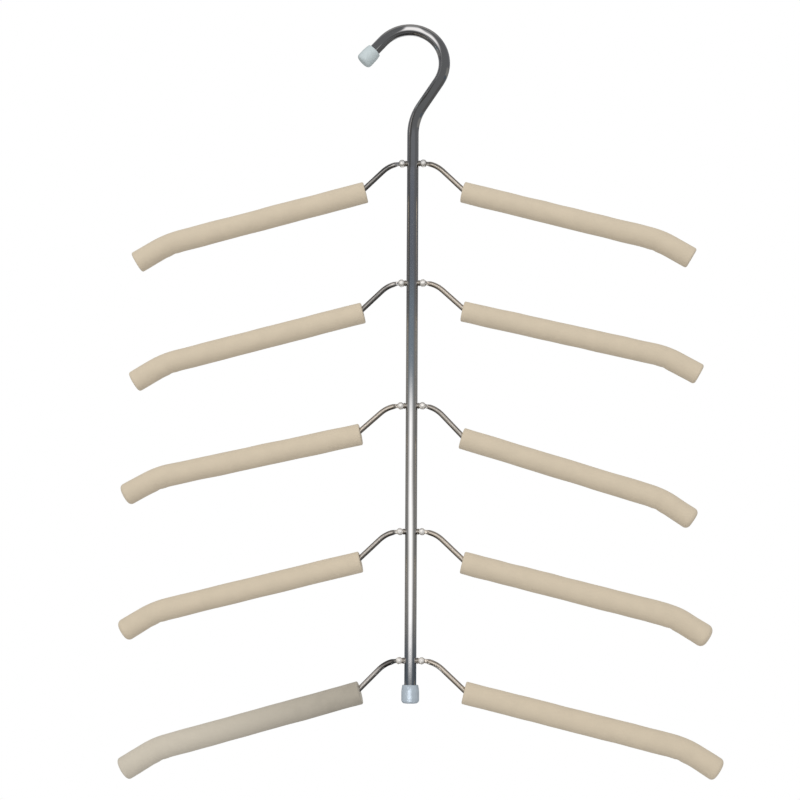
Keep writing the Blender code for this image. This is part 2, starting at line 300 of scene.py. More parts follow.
def grid_faces(rows: int, columns: int, ring: bool = False, wrap: bool = True) -> np.ndarray:
    """The faces over a grid of points.

    Args:
        rows: the number of rows of points.
        columns: the number of columns.
        ring: whether the last row joins the first.
        wrap: whether the last column joins the first.

    Returns:
        The four corners of each face as numbers of points, band by band.
    """
    row = np.arange(rows if ring else rows - 1)[:, None]
    column = np.arange(columns if wrap else columns - 1)[None, :]
    row_after, column_after = (row + 1) % rows, (column + 1) % columns
    corners = ((row, column), (row, column_after), (row_after, column_after), (row_after, column))
    return np.stack([r * columns + c for r, c in corners], axis=-1).reshape(-1, 4)


def grid_mesh(
    name: str, points: np.ndarray, around: float, ring: bool = False, cut: np.ndarray | None = None
) -> bpy.types.Mesh:
    """Makes a mesh over a grid of points whose columns close on themselves.

    Its UV map, in metres, has u = around * column / columns and v = the distance along the first column.

    Args:
        name: the mesh's name.
        points: the points, as rows x columns x 3.
        around: the length that u gives to one turn.
        ring: whether the last row joins the first, as round a pipe's wall. Otherwise both ends are poles.
        cut: how far each row lies on a cut face, from 0 to 1, for the attribute of that name.

    Returns:
        The mesh, its poles merged and its faces pointing out.
    """
    rows, columns = points.shape[:2]
    faces = grid_faces(rows, columns, ring)
    loop = np.concatenate([points[:, 0], points[:1, 0]])
    along = np.concatenate([[0.0], np.cumsum(np.linalg.norm(np.diff(loop, axis=0), axis=1))])
    row, column = (part.reshape(-1, 1) for part in np.indices((len(faces) // columns, columns)))
    u = around * (column + np.array([0, 1, 1, 0])) / columns
    v = along[row + np.array([0, 0, 1, 1])]
    mesh = bpy.data.meshes.new(name)
    mesh.vertices.add(rows * columns)
    mesh.vertices.foreach_set("co", points.astype(np.float32).ravel())
    mesh.loops.add(faces.size)
    mesh.loops.foreach_set("vertex_index", faces.astype(np.int32).ravel())
    mesh.polygons.add(len(faces))
    mesh.polygons.foreach_set("loop_start", np.arange(0, faces.size, 4, dtype=np.int32))
    mesh.update(calc_edges=True)
    uv = np.stack([u, v], axis=-1).astype(np.float32)
    mesh.uv_layers.new(name="UVMap").data.foreach_set("uv", uv.ravel())
    if cut is not None:
        values = np.repeat(cut, columns).astype(np.float32)
        mesh.attributes.new("cut", "FLOAT", "POINT").data.foreach_set("value", values)
    return merged(mesh)


def merged(mesh: bpy.types.Mesh) -> bpy.types.Mesh:
    """Merges a mesh's doubles, points its faces out and shades it smooth between its sharp edges.

    Args:
        mesh: the mesh, which is changed in place.

    Returns:
        The same mesh.
    """
    work = bmesh.new()
    work.from_mesh(mesh)
    bmesh.ops.remove_doubles(work, verts=work.verts, dist=MERGE_DISTANCE)
    bmesh.ops.recalc_face_normals(work, faces=work.faces)
    work.to_mesh(mesh)
    work.free()
    mesh.shade_smooth()
    mesh.set_sharp_from_angle(angle=SMOOTH_LIMIT)
    return mesh


def linked(name: str, data: bpy.types.ID) -> bpy.types.Object:
    """A new object with a mesh, lamp or camera, linked to the scene.

    Args:
        name: the object's name.
        data: its mesh, lamp or camera.

    Returns:
        The object.
    """
    thing = bpy.data.objects.new(name, data)
    bpy.context.scene.collection.objects.link(thing)
    return thing


def combined(mesh: bpy.types.Mesh, steps: list[tuple[Cut, bpy.types.Mesh]]) -> bpy.types.Mesh:
    """A mesh after a list of Boolean steps.

    Args:
        mesh: the mesh to start from.
        steps: each step's operation and the closed mesh that it works with.

    Returns:
        The new mesh, under the first one's name.
    """
    base = linked("base", mesh)
    tools = []
    for operation, tool_mesh in steps:
        tools.append(linked("tool", tool_mesh))
        step = base.modifiers.new(operation.name.lower(), "BOOLEAN")
        step.operation = operation.value
        step.solver = "EXACT"
        step.object = tools[-1]
    graph = bpy.context.evaluated_depsgraph_get()
    result = bpy.data.meshes.new_from_object(base.evaluated_get(graph))
    name = mesh.name
    for thing in (base, *tools):
        bpy.data.objects.remove(thing, do_unlink=True)
    bpy.data.meshes.remove(mesh)
    result.name = name
    return merged(result)


def cylinder(place: Vector, axis: Vector, radius: float, length: float, columns: int = 48) -> bpy.types.Mesh:
    """A plain cylinder with its middle at a place, as a tool for a Boolean step.

    Args:
        place: its middle.
        axis: the direction of its length.
        radius: its radius.
        length: its length.
        columns: the number of columns round it.

    Returns:
        The closed mesh.
    """
    half = length / 2
    profile = np.array([(0, -half), (radius, -half), (radius, half), (0, half)])
    return grid_mesh("cylinder", revolve(profile, place, axis, columns), around=1.0)


def box(low: tuple[float, float, float], high: tuple[float, float, float]) -> bpy.types.Mesh:
    """A plain box between two corners, as a tool for a Boolean step.

    Args:
        low: the corner with the least X, Y and Z.
        high: the corner with the greatest.

    Returns:
        The closed mesh.
    """
    corner_low, corner_high = Vector(low), Vector(high)
    place = Matrix.Translation((corner_low + corner_high) / 2)
    work = bmesh.new()
    bmesh.ops.create_cube(work, size=1, matrix=place @ Matrix.Diagonal((*(corner_high - corner_low), 1)))
    mesh = bpy.data.meshes.new("box")
    work.to_mesh(mesh)
    work.free()
    return mesh


# Shader nodes and finishes


class NodeWeb:
    """Adds shader nodes to one tree and links them."""

    def __init__(self, tree: bpy.types.NodeTree) -> None:
        """Takes the tree that the nodes go into."""
        self.tree = tree

    def add(self, kind: str, inputs: dict | None = None, **settings: object) -> bpy.types.Node:
        """Adds a node.

        Args:
            kind: the node's type without its ShaderNode prefix.
            inputs: values or output sockets for its inputs, by name or number.
            settings: its own settings.

        Returns:
            The node.
        """
        node = self.tree.nodes.new(f"ShaderNode{kind}")
        for name, value in settings.items():
            setattr(node, name, value)
        self.feed_all(node, inputs or {})
        return node

    def feed(self, socket: bpy.types.NodeSocket, value: object) -> None:
        """Links an output to an input, or sets the input's own value.

        Args:
            socket: the input.
            value: an output socket or a plain value.
        """
        if isinstance(value, bpy.types.NodeSocket):
            self.tree.links.new(value, socket)
        else:
            socket.default_value = value

    def feed_all(self, node: bpy.types.Node, inputs: dict) -> None:
        """Feeds several inputs of a node, by name or number."""
        for name, value in inputs.items():
            self.feed(node.inputs[name], value)

    def calc(self, operation: str, *values: object) -> bpy.types.NodeSocket:
        """The result of a Math node."""
        return self.add("Math", dict(enumerate(values)), operation=operation).outputs[0]

    def spread(
        self, value: object, low: object, high: object, to_low: object = 0.0, to_high: object = 1.0
    ) -> bpy.types.NodeSocket:
        """A value's place between two others, smoothed and held, on a new range.

        Args:
            value: the value.
            low: the start of its range.
            high: the end of its range.
            to_low: the start of the new range.
            to_high: the end of the new range.

        Returns:
            The value on the new range.
        """
        names = ("Value", "From Min", "From Max", "To Min", "To Max")
        inputs = dict(zip(names, (value, low, high, to_low, to_high)))
        return self.add("MapRange", inputs, interpolation_type="SMOOTHSTEP").outputs["Result"]

    def noise(
        self, vector: object, scale: object, detail: float = 2.0, rough: float = 0.5
    ) -> bpy.types.NodeSocket:
        """The grey value of a Noise Texture, about 0.5 on average."""
        inputs = {"Vector": vector, "Scale": scale, "Detail": detail, "Roughness": rough}
        return self.add("TexNoise", inputs).outputs["Fac"]

    def stretched(self, vector: object, scale: tuple[float, float, float]) -> bpy.types.NodeSocket:
        """A vector with its parts multiplied."""
        node = self.add("VectorMath", {0: vector, 1: scale}, operation="MULTIPLY")
        return node.outputs["Vector"]

    def part(self, vector: object, axis: str) -> bpy.types.NodeSocket:
        """One part of a vector."""
        return self.add("SeparateXYZ", {"Vector": vector}).outputs[axis]

    def coordinates(self, kind: str) -> bpy.types.NodeSocket:
        """A surface's own coordinates of one kind."""
        return self.add("TexCoord").outputs[kind]

    def bump(self, height: object, strength: float, depth: float) -> bpy.types.NodeSocket:
        """The normal of a surface with a relief of that depth."""
        inputs = {"Height": height, "Strength": strength, "Distance": depth}
        return self.add("Bump", inputs).outputs["Normal"]

    def blended(self, factor: object, first: object, second: object) -> bpy.types.NodeSocket:
        """A mix of two colours.

        Args:
            factor: the second colour's share.
            first: the first colour.
            second: the second colour.

        Returns:
            The mixed colour.
        """
        node = self.add("Mix", data_type="RGBA")
        self.feed(node.inputs["Factor"], factor)
        colours = [socket for socket in node.inputs if socket.type == "RGBA"]
        self.feed(colours[0], first)
        self.feed(colours[1], second)
        return next(socket for socket in node.outputs if socket.type == "RGBA")


class Effect:
    """A shader node group with named inputs and outputs, built once."""

    name = "effect"
    inputs: tuple[tuple[str, str, float], ...] = ()
    outputs: tuple[tuple[str, str], ...] = ()

    def tree(self) -> bpy.types.NodeTree:
        """The group, made on its first use.

        Returns:
            The group's tree of nodes.
        """
        tree = bpy.data.node_groups.get(self.name)
        if tree is None:
            tree = bpy.data.node_groups.new(self.name, "ShaderNodeTree")
            for name, kind, value in self.inputs:
                socket = tree.interface.new_socket(name, in_out="INPUT", socket_type=f"NodeSocket{kind}")
                if kind == "Float":
                    socket.default_value = value
            for name, kind in self.outputs:
                tree.interface.new_socket(name, in_out="OUTPUT", socket_type=f"NodeSocket{kind}")
            web = NodeWeb(tree)
            source = tree.nodes.new("NodeGroupInput").outputs
            sink = tree.nodes.new("NodeGroupOutput").inputs
            for name, value in self.work(web, source).items():
                web.feed(sink[name], value)
        return tree

    def work(self, web: NodeWeb, source: bpy.types.bpy_prop_collection) -> dict[str, object]:
        """Builds the group's nodes and says what goes to each output."""
        raise NotImplementedError

    def place(self, web: NodeWeb, **inputs: object) -> bpy.types.bpy_prop_collection:
        """Places the group in a material with its own values, and returns its outputs."""
        named = {name.replace("_", " ").title(): value for name, value in inputs.items()}
        return web.add("Group", named, node_tree=self.tree()).outputs


class PolishWear(Effect):
    """Smudges, fine drawn scratches and a faint orange peel, on UV coordinates that follow a bar."""

    name = "polish_wear"
    inputs = (
        ("Vector", "Vector", 0),
        ("Haze", "Float", 0.1),
        ("Scratch", "Float", 0.1),
        ("Peel", "Float", 1),
    )
    outputs = (("Roughness", "Float"), ("Smudge", "Float"), ("Height", "Float"))
    smudge_scale = 70.0
    smudge_range = (0.42, 0.72)
    drawn_scale = (5200.0, 130.0, 1.0)
    scratch_range = (0.66, 0.78)
    scratch_depth = 0.25
    peel_scale = 420.0

    def work(self, web: NodeWeb, source: bpy.types.bpy_prop_collection) -> dict[str, object]:
        """Smudge = noise at 14 mm; scratch = a thin crest of noise drawn out 40 times along the bar.

        Args:
            web: the web of the group's nodes.
            source: the group's inputs.

        Returns:
            What goes to the outputs Roughness, Smudge and Height.
        """
        vector = source["Vector"]
        smudge = web.spread(web.noise(vector, self.smudge_scale, 3.0, 0.6), *self.smudge_range)
        lines = web.noise(web.stretched(vector, self.drawn_scale), 1.0, 2.0, 0.55)
        scratch = web.spread(lines, *self.scratch_range)
        hazy = web.calc("MULTIPLY", smudge, source["Haze"])
        scratched = web.calc("MULTIPLY", scratch, source["Scratch"])
        peel = web.calc("MULTIPLY", web.noise(vector, self.peel_scale, 1.0, 0.4), source["Peel"])
        groove = web.calc("MULTIPLY", scratch, self.scratch_depth)
        height = web.calc("SUBTRACT", peel, groove)
        return {"Roughness": web.calc("ADD", hazy, scratched), "Smudge": smudge, "Height": height}


class Mottle(Effect):
    """Soft cloudy patches with a finer fleck over them, on Object coordinates."""

    name = "mottle"
    inputs = (("Vector", "Vector", 0), ("Patch Scale", "Float", 120), ("Fleck Scale", "Float", 900))
    outputs = (("Patch", "Float"), ("Fleck", "Float"))

    def work(self, web: NodeWeb, source: bpy.types.bpy_prop_collection) -> dict[str, object]:
        """Patch and fleck are noise at two scales, spread over the whole range.

        Args:
            web: the web of the group's nodes.
            source: the group's inputs.

        Returns:
            What goes to the outputs Patch and Fleck.
        """
        patch = web.noise(source["Vector"], source["Patch Scale"], 3.0, 0.55)
        fleck = web.noise(source["Vector"], source["Fleck Scale"], 2.0, 0.6)
        return {"Patch": web.spread(patch, *NOISE_RANGE), "Fleck": web.spread(fleck, *NOISE_RANGE)}


class FoamCells(Effect):
    """The cells of closed-cell foam: shallow under its skin, and open where it is cut."""

    name = "foam_cells"
    inputs = (("Vector", "Vector", 0), ("Cell Scale", "Float", 2400), ("Open", "Float", 0))
    outputs = (("Height", "Float"), ("Pit", "Float"))
    pit_range = (0.12, 0.5)
    skinned_share = 0.22
    grain_scale = 1500.0
    grain_height = 0.7

    def work(self, web: NodeWeb, source: bpy.types.bpy_prop_collection) -> dict[str, object]:
        """A pit is where the distance to a cell's centre is small; the skin hides most of it.

        Args:
            web: the web of the group's nodes.
            source: the group's inputs.

        Returns:
            What goes to the outputs Height and Pit.
        """
        inputs = {"Vector": source["Vector"], "Scale": source["Cell Scale"], "Randomness": 1.0}
        cell = web.add("TexVoronoi", inputs).outputs["Distance"]
        pit = web.spread(cell, *self.pit_range, 1.0, 0.0)
        shown = web.spread(source["Open"], 0.0, 1.0, self.skinned_share, 1.0)
        skin = web.noise(source["Vector"], self.grain_scale, 3.0, 0.6)
        depth = web.calc("MULTIPLY", pit, shown)
        grain = web.calc("MULTIPLY", skin, self.grain_height)
        return {"Height": web.calc("SUBTRACT", grain, depth), "Pit": depth}


def new_material(name: str) -> tuple[bpy.types.Material, NodeWeb, bpy.types.Node]:
    """A material with the web of its nodes and its shader.

    Args:
        name: the material's name.

    Returns:
        The material, its web and its shader.
    """
    material = bpy.data.materials.new(name)
    material.use_nodes = True
    web = NodeWeb(material.node_tree)
    return material, web, material.node_tree.nodes["Principled BSDF"]


@dataclass(frozen=True)
class Finish:
    """What every finish has: its name and plain colour."""

    name: str
    colour: tuple[float, float, float]

    def material(self) -> bpy.types.Material:
        """The finish's material, made on its first use."""
        return bpy.data.materials.get(self.name) or self.make()

    def make(self) -> bpy.types.Material:
        """Builds the material."""
        raise NotImplementedError

    def tinted(self, factor: float) -> tuple[float, float, float, float]:
        """The plain colour times a factor, with an alpha of 1."""
        return tuple(min(1.0, part * factor) for part in self.colour) + (1.0,)


@dataclass(frozen=True)
class MetalFinish(Finish):
    """Plated metal, from a mirror to satin, with faint smudges, drawn scratches and orange peel.

    Near the start of its length its colour is multiplied by a start tone: a painted highlight where the tone
    is above 1, painted shade where it is below 1. It fades out between the two distances of its fade.
    """

    crown: float = 1.0
    crown_fade: tuple[float, float] = (7.0 * MM, 15.0 * MM)
    roughness: float = 0.08
    metallic: float = 1.0
    smudge_shade: float = 0.96
    haze: float = 0.03
    scratch: float = 0.03
    peel: float = 1.0
    peel_depth: float = 0.0006 * MM

    def make(self) -> bpy.types.Material:
        """Builds the material: roughness = its own + wear, colour times smudge_shade under a smudge.

        Returns:
            The material.
        """
        material, web, shader = new_material(self.name)
        uv = web.add("UVMap", uv_map="UVMap").outputs["UV"]
        wear = PolishWear().place(web, vector=uv, haze=self.haze, scratch=self.scratch, peel=self.peel)
        rough = web.calc("ADD", wear["Roughness"], self.roughness)
        colour = web.blended(wear["Smudge"], self.tinted(1.0), self.tinted(self.smudge_shade))
        # Painted highlight where the start tone is above 1, painted shade where it is below 1, near the
        # wire's start.
        if self.crown != 1.0:
            past_painted_start = web.spread(web.part(uv, "Y"), *self.crown_fade)
            colour = web.blended(past_painted_start, self.tinted(self.crown), colour)
        normal = web.bump(wear["Height"], 1.0, self.peel_depth)
        web.feed_all(shader, {"Base Color": colour, "Roughness": rough, "Normal": normal})
        web.feed(shader.inputs["Metallic"], self.metallic)
        return material


@dataclass(frozen=True)
class FoamFinish(Finish):
    """Matt foam rubber with a fine skin, open cells where it is cut, a soft rim of light and, on some,
    painted shade towards the inner end.

    A tone is a factor on the plain colour. The inner shade, painted shade near the inner end, is the most
    that its tone covers, and it fades out along the sleeve, from its inner end to its knee.
    """

    patch_tones: tuple[float, float] = (0.975, 1.01)
    fleck_share: float = 0.2
    fleck_tone: float = 0.9
    pit_share: float = 0.4
    pit_tone: float = 0.6
    soil: float = 0.0
    soil_tone: float = 0.5
    soil_patches: tuple[float, float] = (0.9, 1.1)
    soil_fade: tuple[float, float] = (-50.0 * MM, 155.0 * MM)
    sheen: float = 0.12
    sheen_roughness: float = 0.5
    specular: float = 0.25
    roughness: tuple[float, float] = (0.84, 0.94)
    relief: float = 0.6
    cell_depth: float = 0.12 * MM

    def make(self) -> bpy.types.Material:
        """Builds the material: patches between two tones of the colour, with painted shade in the pits of its
        cells.

        Returns:
            The material.
        """
        material, web, shader = new_material(self.name)
        place = web.coordinates("Object")
        cut = web.add("Attribute", attribute_name="cut", attribute_type="GEOMETRY").outputs["Fac"]
        mottle = Mottle().place(web, vector=place, patch_scale=110.0, fleck_scale=1100.0)
        cells = FoamCells().place(web, vector=place, cell_scale=2300.0, open=cut)
        low, high = (self.tinted(factor) for factor in self.patch_tones)
        tone = web.blended(mottle["Patch"], low, high)
        fleck = web.calc("MULTIPLY", mottle["Fleck"], self.fleck_share)
        tone = web.blended(fleck, tone, self.tinted(self.fleck_tone))
        # Painted shade in the pits of the foam's cells.
        pit = web.calc("MULTIPLY", cells["Pit"], self.pit_share)
        tone = web.blended(pit, tone, self.tinted(self.pit_tone))
        # Painted shade in patches, darkest at the sleeve's inner end and fading towards its knee.
        if self.soil:
            uv = web.add("UVMap", uv_map="UVMap").outputs["UV"]
            inner_shaded = web.spread(web.part(uv, "Y"), *self.soil_fade, self.soil, 0.0)
            patches = web.spread(mottle["Patch"], 0.0, 1.0, *self.soil_patches)
            tone = web.blended(web.calc("MULTIPLY", inner_shaded, patches), tone, self.tinted(self.soil_tone))
        rough = web.spread(mottle["Patch"], 0.0, 1.0, *self.roughness)
        normal = web.bump(cells["Height"], self.relief, self.cell_depth)
        web.feed_all(shader, {"Base Color": tone, "Roughness": rough, "Normal": normal})
        web.feed_all(shader, {"Sheen Weight": self.sheen, "Sheen Roughness": self.sheen_roughness})
        web.feed(shader.inputs["Specular IOR Level"], self.specular)
        return material


@dataclass(frozen=True)
class VinylFinish(Finish):
    """Soft translucent vinyl with a satin face and faint clouds between two tones of its colour."""

    roughness: tuple[float, float] = (0.30, 0.40)
    cloud_tones: tuple[float, float] = (0.96, 1.03)
    relief: float = 0.5
    grain_depth: float = 0.006 * MM

    def make(self) -> bpy.types.Material:
        """Builds the material: clouds between two tones, and a fine moulded grain.

        Returns:
            The material.
        """
        material, web, shader = new_material(self.name)
        place = web.coordinates("Object")
        mottle = Mottle().place(web, vector=place, patch_scale=260.0, fleck_scale=1700.0)
        low, high = (self.tinted(factor) for factor in self.cloud_tones)
        tone = web.blended(mottle["Patch"], low, high)
        rough = web.spread(mottle["Fleck"], 0.0, 1.0, *self.roughness)
        normal = web.bump(mottle["Fleck"], self.relief, self.grain_depth)
        web.feed_all(shader, {"Base Color": tone, "Roughness": rough, "Normal": normal})
        return material


TUBE_CHROME = MetalFinish("tube_chrome", (0.62, 0.63, 0.65), roughness=0.07)
WARM_PLATE = MetalFinish("warm_wire_plate", (0.71, 0.66, 0.60), roughness=0.16)
# The plates below are darker copies of the warm plate: painted shade standing in for what these wires mirror.
# The deep shade plate's start tone paints a highlight near the pivot, and the last plate's start tone paints
# shade there.
SHADED_PLATE = MetalFinish("plain_wire_plate", (0.56, 0.54, 0.515), roughness=0.16)
DEEP_SHADE_PLATE = MetalFinish("dark_wire_plate", (0.37, 0.365, 0.36), roughness=0.14, crown=2.4)
SHADED_START_PLATE = MetalFinish(
    "dull_wire_plate", (0.56, 0.55, 0.545), roughness=0.16, crown=0.3, crown_fade=(13.0 * MM, 24.0 * MM)
)
ROD_PLATE = MetalFinish("rod_plate", (0.60, 0.57, 0.53), roughness=0.2, haze=0.05)
# Near white and half diffuse, so that the rivet domes read white: a painted highlight in place of the glint
# of plain steel.
RIVET_STEEL = MetalFinish("bright_rivet_steel", (0.96, 0.945, 0.92), roughness=0.3, metallic=0.5, haze=0.05)
BEIGE_FOAM = FoamFinish("beige_foam", (0.70, 0.60, 0.457))
# A greyer copy of the beige foam with painted shade, darker towards its inner end.
SHADED_FOAM = FoamFinish("worn_beige_foam", (0.66, 0.60, 0.498), soil=0.82)
HOOK_VINYL = VinylFinish("milky_vinyl", (0.60, 0.675, 0.69))
# The foot cap's vinyl is a darker copy of the hook cap's: painted shade.
SHADED_FOOT_VINYL = VinylFinish("bluish_vinyl", (0.47, 0.54, 0.605))


# Placing a piece


def add_piece(
    name: str, mesh: bpy.types.Mesh, finish: Finish, body: str, node: str
) -> bpy.types.Object:
    """Puts a finished mesh into the scene in place of a CAD node.

    Args:
        name: the piece's name.
        mesh: its mesh, in its place.
        finish: its finish.
        body: the CAD body that it moves with.
        node: the CAD node that it stands for.

    Returns:
        The piece.
    """
    mesh.name = name
    mesh.materials.clear()
    mesh.materials.append(finish.material())
    piece = linked(name, mesh)
    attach(piece, body)
    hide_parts(node)
    points = np.empty(3 * len(mesh.vertices), np.float32)
    mesh.vertices.foreach_get("co", points)
    points = points.reshape(-1, 3)
    low, high = (np.array(corner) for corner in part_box(node))
    stray = max(abs(points.min(0) - low).max(), abs(points.max(0) - high).max()) / MM
    log.info("%s: %d faces, %.2f mm from the box of %s", name, len(mesh.polygons), stray, node)
    return piece


def box_middle(node: str) -> Vector:
    """The middle of a CAD node's box."""
    low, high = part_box(node)
    return (low + high) / 2


# The hook and post with its caps


@dataclass(frozen=True)
class HookPost:
    """The bent tube that is hook and post in one, bored across at each tier."""

    tiers: int
    radius: float = 4.2 * MM
    wall: float = 0.8 * MM
    post_run: float = 410.0 * MM
    neck_radius: float = 38.0 * MM
    neck_turn: float = math.radians(33.5)
    neck_run: float = 22.5 * MM
    hook_radius: float = 26.4 * MM
    hook_turn: float = math.radians(170.5)
    lip_run: float = 20.5 * MM
    easing: float = 3.0 * MM
    hole_radius: float = 2.1 * MM
    columns: int = 96
    row_step: float = 1.5 * MM
    bore_step: float = 6.0 * MM
    rim: float = 0.2 * MM
    drill_overrun: float = 2.0 * MM

    def line(self) -> Line:
        """The tube's centre line, from the foot of the post to the lip of the hook.

        Returns:
            The line, in the plane of the hanger.
        """
        foot = (box_middle("cross_rod_1").x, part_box("hook_post")[0].z)
        stretches = [
            Stretch(self.post_run),
            bend(self.neck_radius, -self.neck_turn),
            Stretch(self.neck_run),
            bend(self.hook_radius, self.hook_turn),
            Stretch(self.lip_run),
        ]
        return trace(foot, QUARTER_TURN, stretches, self.easing)

    def mesh(self) -> bpy.types.Mesh:
        """The tube's wall as one closed ring of rows, out along its skin and back along its bore.

        The skin's radius drops on the rounded rims as edge_drop says, and the holes are Boolean steps.

        Returns:
            The mesh, in its place.
        """
        line = self.line()
        angle = circle_angles(self.columns)
        rims = (self.rim, self.rim)
        out = rows_along(line.length, self.row_step, rims, edge_rows=4)
        back = rows_along(line.length, self.bore_step, rims, edge_rows=4)[::-1]
        skin = (self.radius - rounded(out, line.length, rims))[:, None]
        bore = (self.radius - self.wall + rounded(back, line.length, rims))[:, None]
        walls = [(out, skin), (back, bore)]
        parts = [sweep(line.at(s), r * np.cos(angle), r * np.sin(angle), Side.RIGHT) for s, r in walls]
        tube = grid_mesh("tube", np.concatenate(parts), 2 * np.pi * self.radius, ring=True)
        length = 2 * (self.radius + self.drill_overrun)
        rods = [box_middle(f"cross_rod_{number}") for number in range(1, self.tiers + 1)]
        holes = [(Cut.DIFFERENCE, cylinder(rod, ACROSS, self.hole_radius, length)) for rod in rods]
        return combined(tube, holes)

    def build(self) -> None:
        """Builds and dresses the tube."""
        add_piece("polished_hook_post", self.mesh(), TUBE_CHROME, POST_BODY, "hook_post")


@dataclass(frozen=True)
class EndCap:
    """A soft thimble pushed over one end of the tube."""

    name: str
    node: str
    finish: VinylFinish
    tube_end: tuple[float, float]
    outwards: float
    length: float = 12.8 * MM
    end_wall: float = 1.6 * MM
    end_gap: float = 0.3 * MM
    bore_radius: float = 4.3 * MM
    mouth_radius: float = 5.6 * MM
    belly_radius: float = 6.2 * MM
    belly_share: float = 0.45
    corner: float = 2.4 * MM
    lip: float = 0.35 * MM
    bulge: float = 0.15 * MM
    columns: int = 96

    def profile(self) -> np.ndarray:
        """Rows of (radius, height beyond the tube's end), from the bore's end over the lip to the outer pole.

        From the lip to the belly the radius is mouth + (belly - mouth) * sin(90 degrees * share of the way).
        The outer end bulges by bulge * (1 - (radius / rim radius)^2) inside its rounded corner.

        Returns:
            The rows, in the order in which the wall is gone round.
        """
        top = self.end_gap + self.end_wall
        mouth = top - self.length
        belly = mouth + self.belly_share * self.length
        lip_top = mouth + self.lip
        inner_rim = arc_profile((self.bore_radius + self.lip, lip_top), self.lip, 180, 270, RIM_STEPS)
        outer_rim = arc_profile((self.mouth_radius - self.lip, lip_top), self.lip, 270, 360, RIM_STEPS)
        share = np.linspace(0, 1, 19)[1:]
        swell = self.mouth_radius + (self.belly_radius - self.mouth_radius) * np.sin(QUARTER_TURN * share)
        side = np.stack([swell, lip_top + (belly - lip_top) * share], axis=1)
        corner_centre = (self.belly_radius - self.corner, top - self.bulge - self.corner)
        flank = np.linspace(belly, corner_centre[1], 8)[1:-1]
        straight = np.stack([np.full(6, self.belly_radius), flank], axis=1)
        corner = arc_profile(corner_centre, self.corner, 0, 90, steps=14)
        rim_radius = corner_centre[0]
        inward = rim_radius * (1 - np.linspace(0, 1, 9)[1:])
        end = np.stack([inward, top - self.bulge * (inward / rim_radius) ** 2], axis=1)
        start = np.array([(0, self.end_gap), (self.bore_radius, self.end_gap)])
        return np.concatenate([start, inner_rim, outer_rim, side, straight, corner, end])

    def build(self) -> None:
        """Builds and dresses the cap."""
        axis = Vector((math.cos(self.outwards), 0, math.sin(self.outwards)))
        origin = Vector((self.tube_end[0], 0, self.tube_end[1]))
        points = revolve(self.profile(), origin, axis, self.columns)
        mesh = grid_mesh(self.name, points, 2 * np.pi * self.belly_radius)
        add_piece(self.name, mesh, self.finish, POST_BODY, self.node)


# The joints


@dataclass(frozen=True)
class CrossRod:
    """A short rod through the post, with a slotted and bored head forged at each end."""

    number: int
    radius: float = 1.9 * MM
    pivot_offset: float = 7.8 * MM
    collar_start: float = 4.35 * MM
    collar_end: float = 5.0 * MM
    collar_radius: float = 2.2 * MM
    root_radius: float = 1.7 * MM
    swell_run: float = 0.5 * MM
    sink_run: float = 1.2 * MM
    reach: float = 6.5 * MM
    head_radius: float = 2.4 * MM
    head_thickness: float = 4.3 * MM
    head_edge: float = 0.35 * MM
    slot_width: float = 2.1 * MM
    slot_back: float = 1.75 * MM
    slot_floor: float = 1.9 * MM
    pin_hole_radius: float = 1.0 * MM
    columns: int = 48
    head_columns: int = 64

    def pivot(self, side: Side) -> Vector:
        """The middle of a head, where the rod's own middle is at the origin."""
        return ACROSS * side.value * self.pivot_offset

    def rod(self) -> bpy.types.Mesh:
        """The rod about X, swelling to a collar outside the post and drawn in again inside its heads.

        The radius goes up to the collar's over swell_run and down to the root's over sink_run, each as
        3t^2 - 2t^3.

        Returns:
            The closed mesh, its middle at the origin.
        """
        out = np.linspace(self.collar_start, self.reach, 20)
        swell = smooth_step((out - self.collar_start) / self.swell_run)
        sink = smooth_step((out - self.collar_end) / self.sink_run)
        radius = self.radius + (self.collar_radius - self.radius) * swell
        radius = radius - (self.collar_radius - self.root_radius) * sink
        half = np.stack([radius, out], axis=1)
        other = half[::-1] * (1, -1)
        poles = np.array([(0, self.reach)])
        profile = np.concatenate([-poles, other, half, poles])
        points = revolve(profile, Vector(), ACROSS, self.columns)
        return grid_mesh("rod", points, 2 * np.pi * self.radius)

    def head(self, side: Side) -> bpy.types.Mesh:
        """A head as a disc about Y with rounded rims.

        Args:
            side: the side of the post that the head is on.

        Returns:
            The closed mesh.
        """
        half, edge = self.head_thickness / 2, self.head_edge
        rim = self.head_radius - edge
        lower = arc_profile((rim, edge - half), edge, 270, 360, RIM_STEPS)
        upper = arc_profile((rim, half - edge), edge, 0, 90, RIM_STEPS)
        profile = np.concatenate([[(0, -half)], lower, upper, [(0, half)]])
        points = revolve(profile, self.pivot(side), DEPTH, self.head_columns)
        return grid_mesh("head", points, 2 * np.pi * self.head_radius)

    def slot(self, side: Side) -> bpy.types.Mesh:
        """The room of a head's slot, open above and outwards, with a floor that the arm lies on.

        Args:
            side: the side of the post that the head is on.

        Returns:
            The closed mesh.
        """
        reaches = (self.pivot_offset - self.slot_back, self.pivot_offset + 2 * self.head_radius)
        ends = sorted(side.value * reach for reach in reaches)
        half = self.slot_width / 2
        return box((ends[0], -half, -self.slot_floor), (ends[1], half, 2 * self.head_radius))

    def build(self) -> None:
        """Builds and dresses the rod."""
        steps = [(Cut.UNION, self.head(side)) for side in Side]
        steps += [(Cut.DIFFERENCE, self.slot(side)) for side in Side]
        for side in Side:
            hole = cylinder(self.pivot(side), DEPTH, self.pin_hole_radius, 3 * self.head_radius)
            steps.append((Cut.DIFFERENCE, hole))
        mesh = combined(self.rod(), steps)
        node = f"cross_rod_{self.number}"
        mesh.transform(Matrix.Translation(box_middle(node)))
        add_piece(f"forged_rod_{self.number}", mesh, ROD_PLATE, POST_BODY, node)


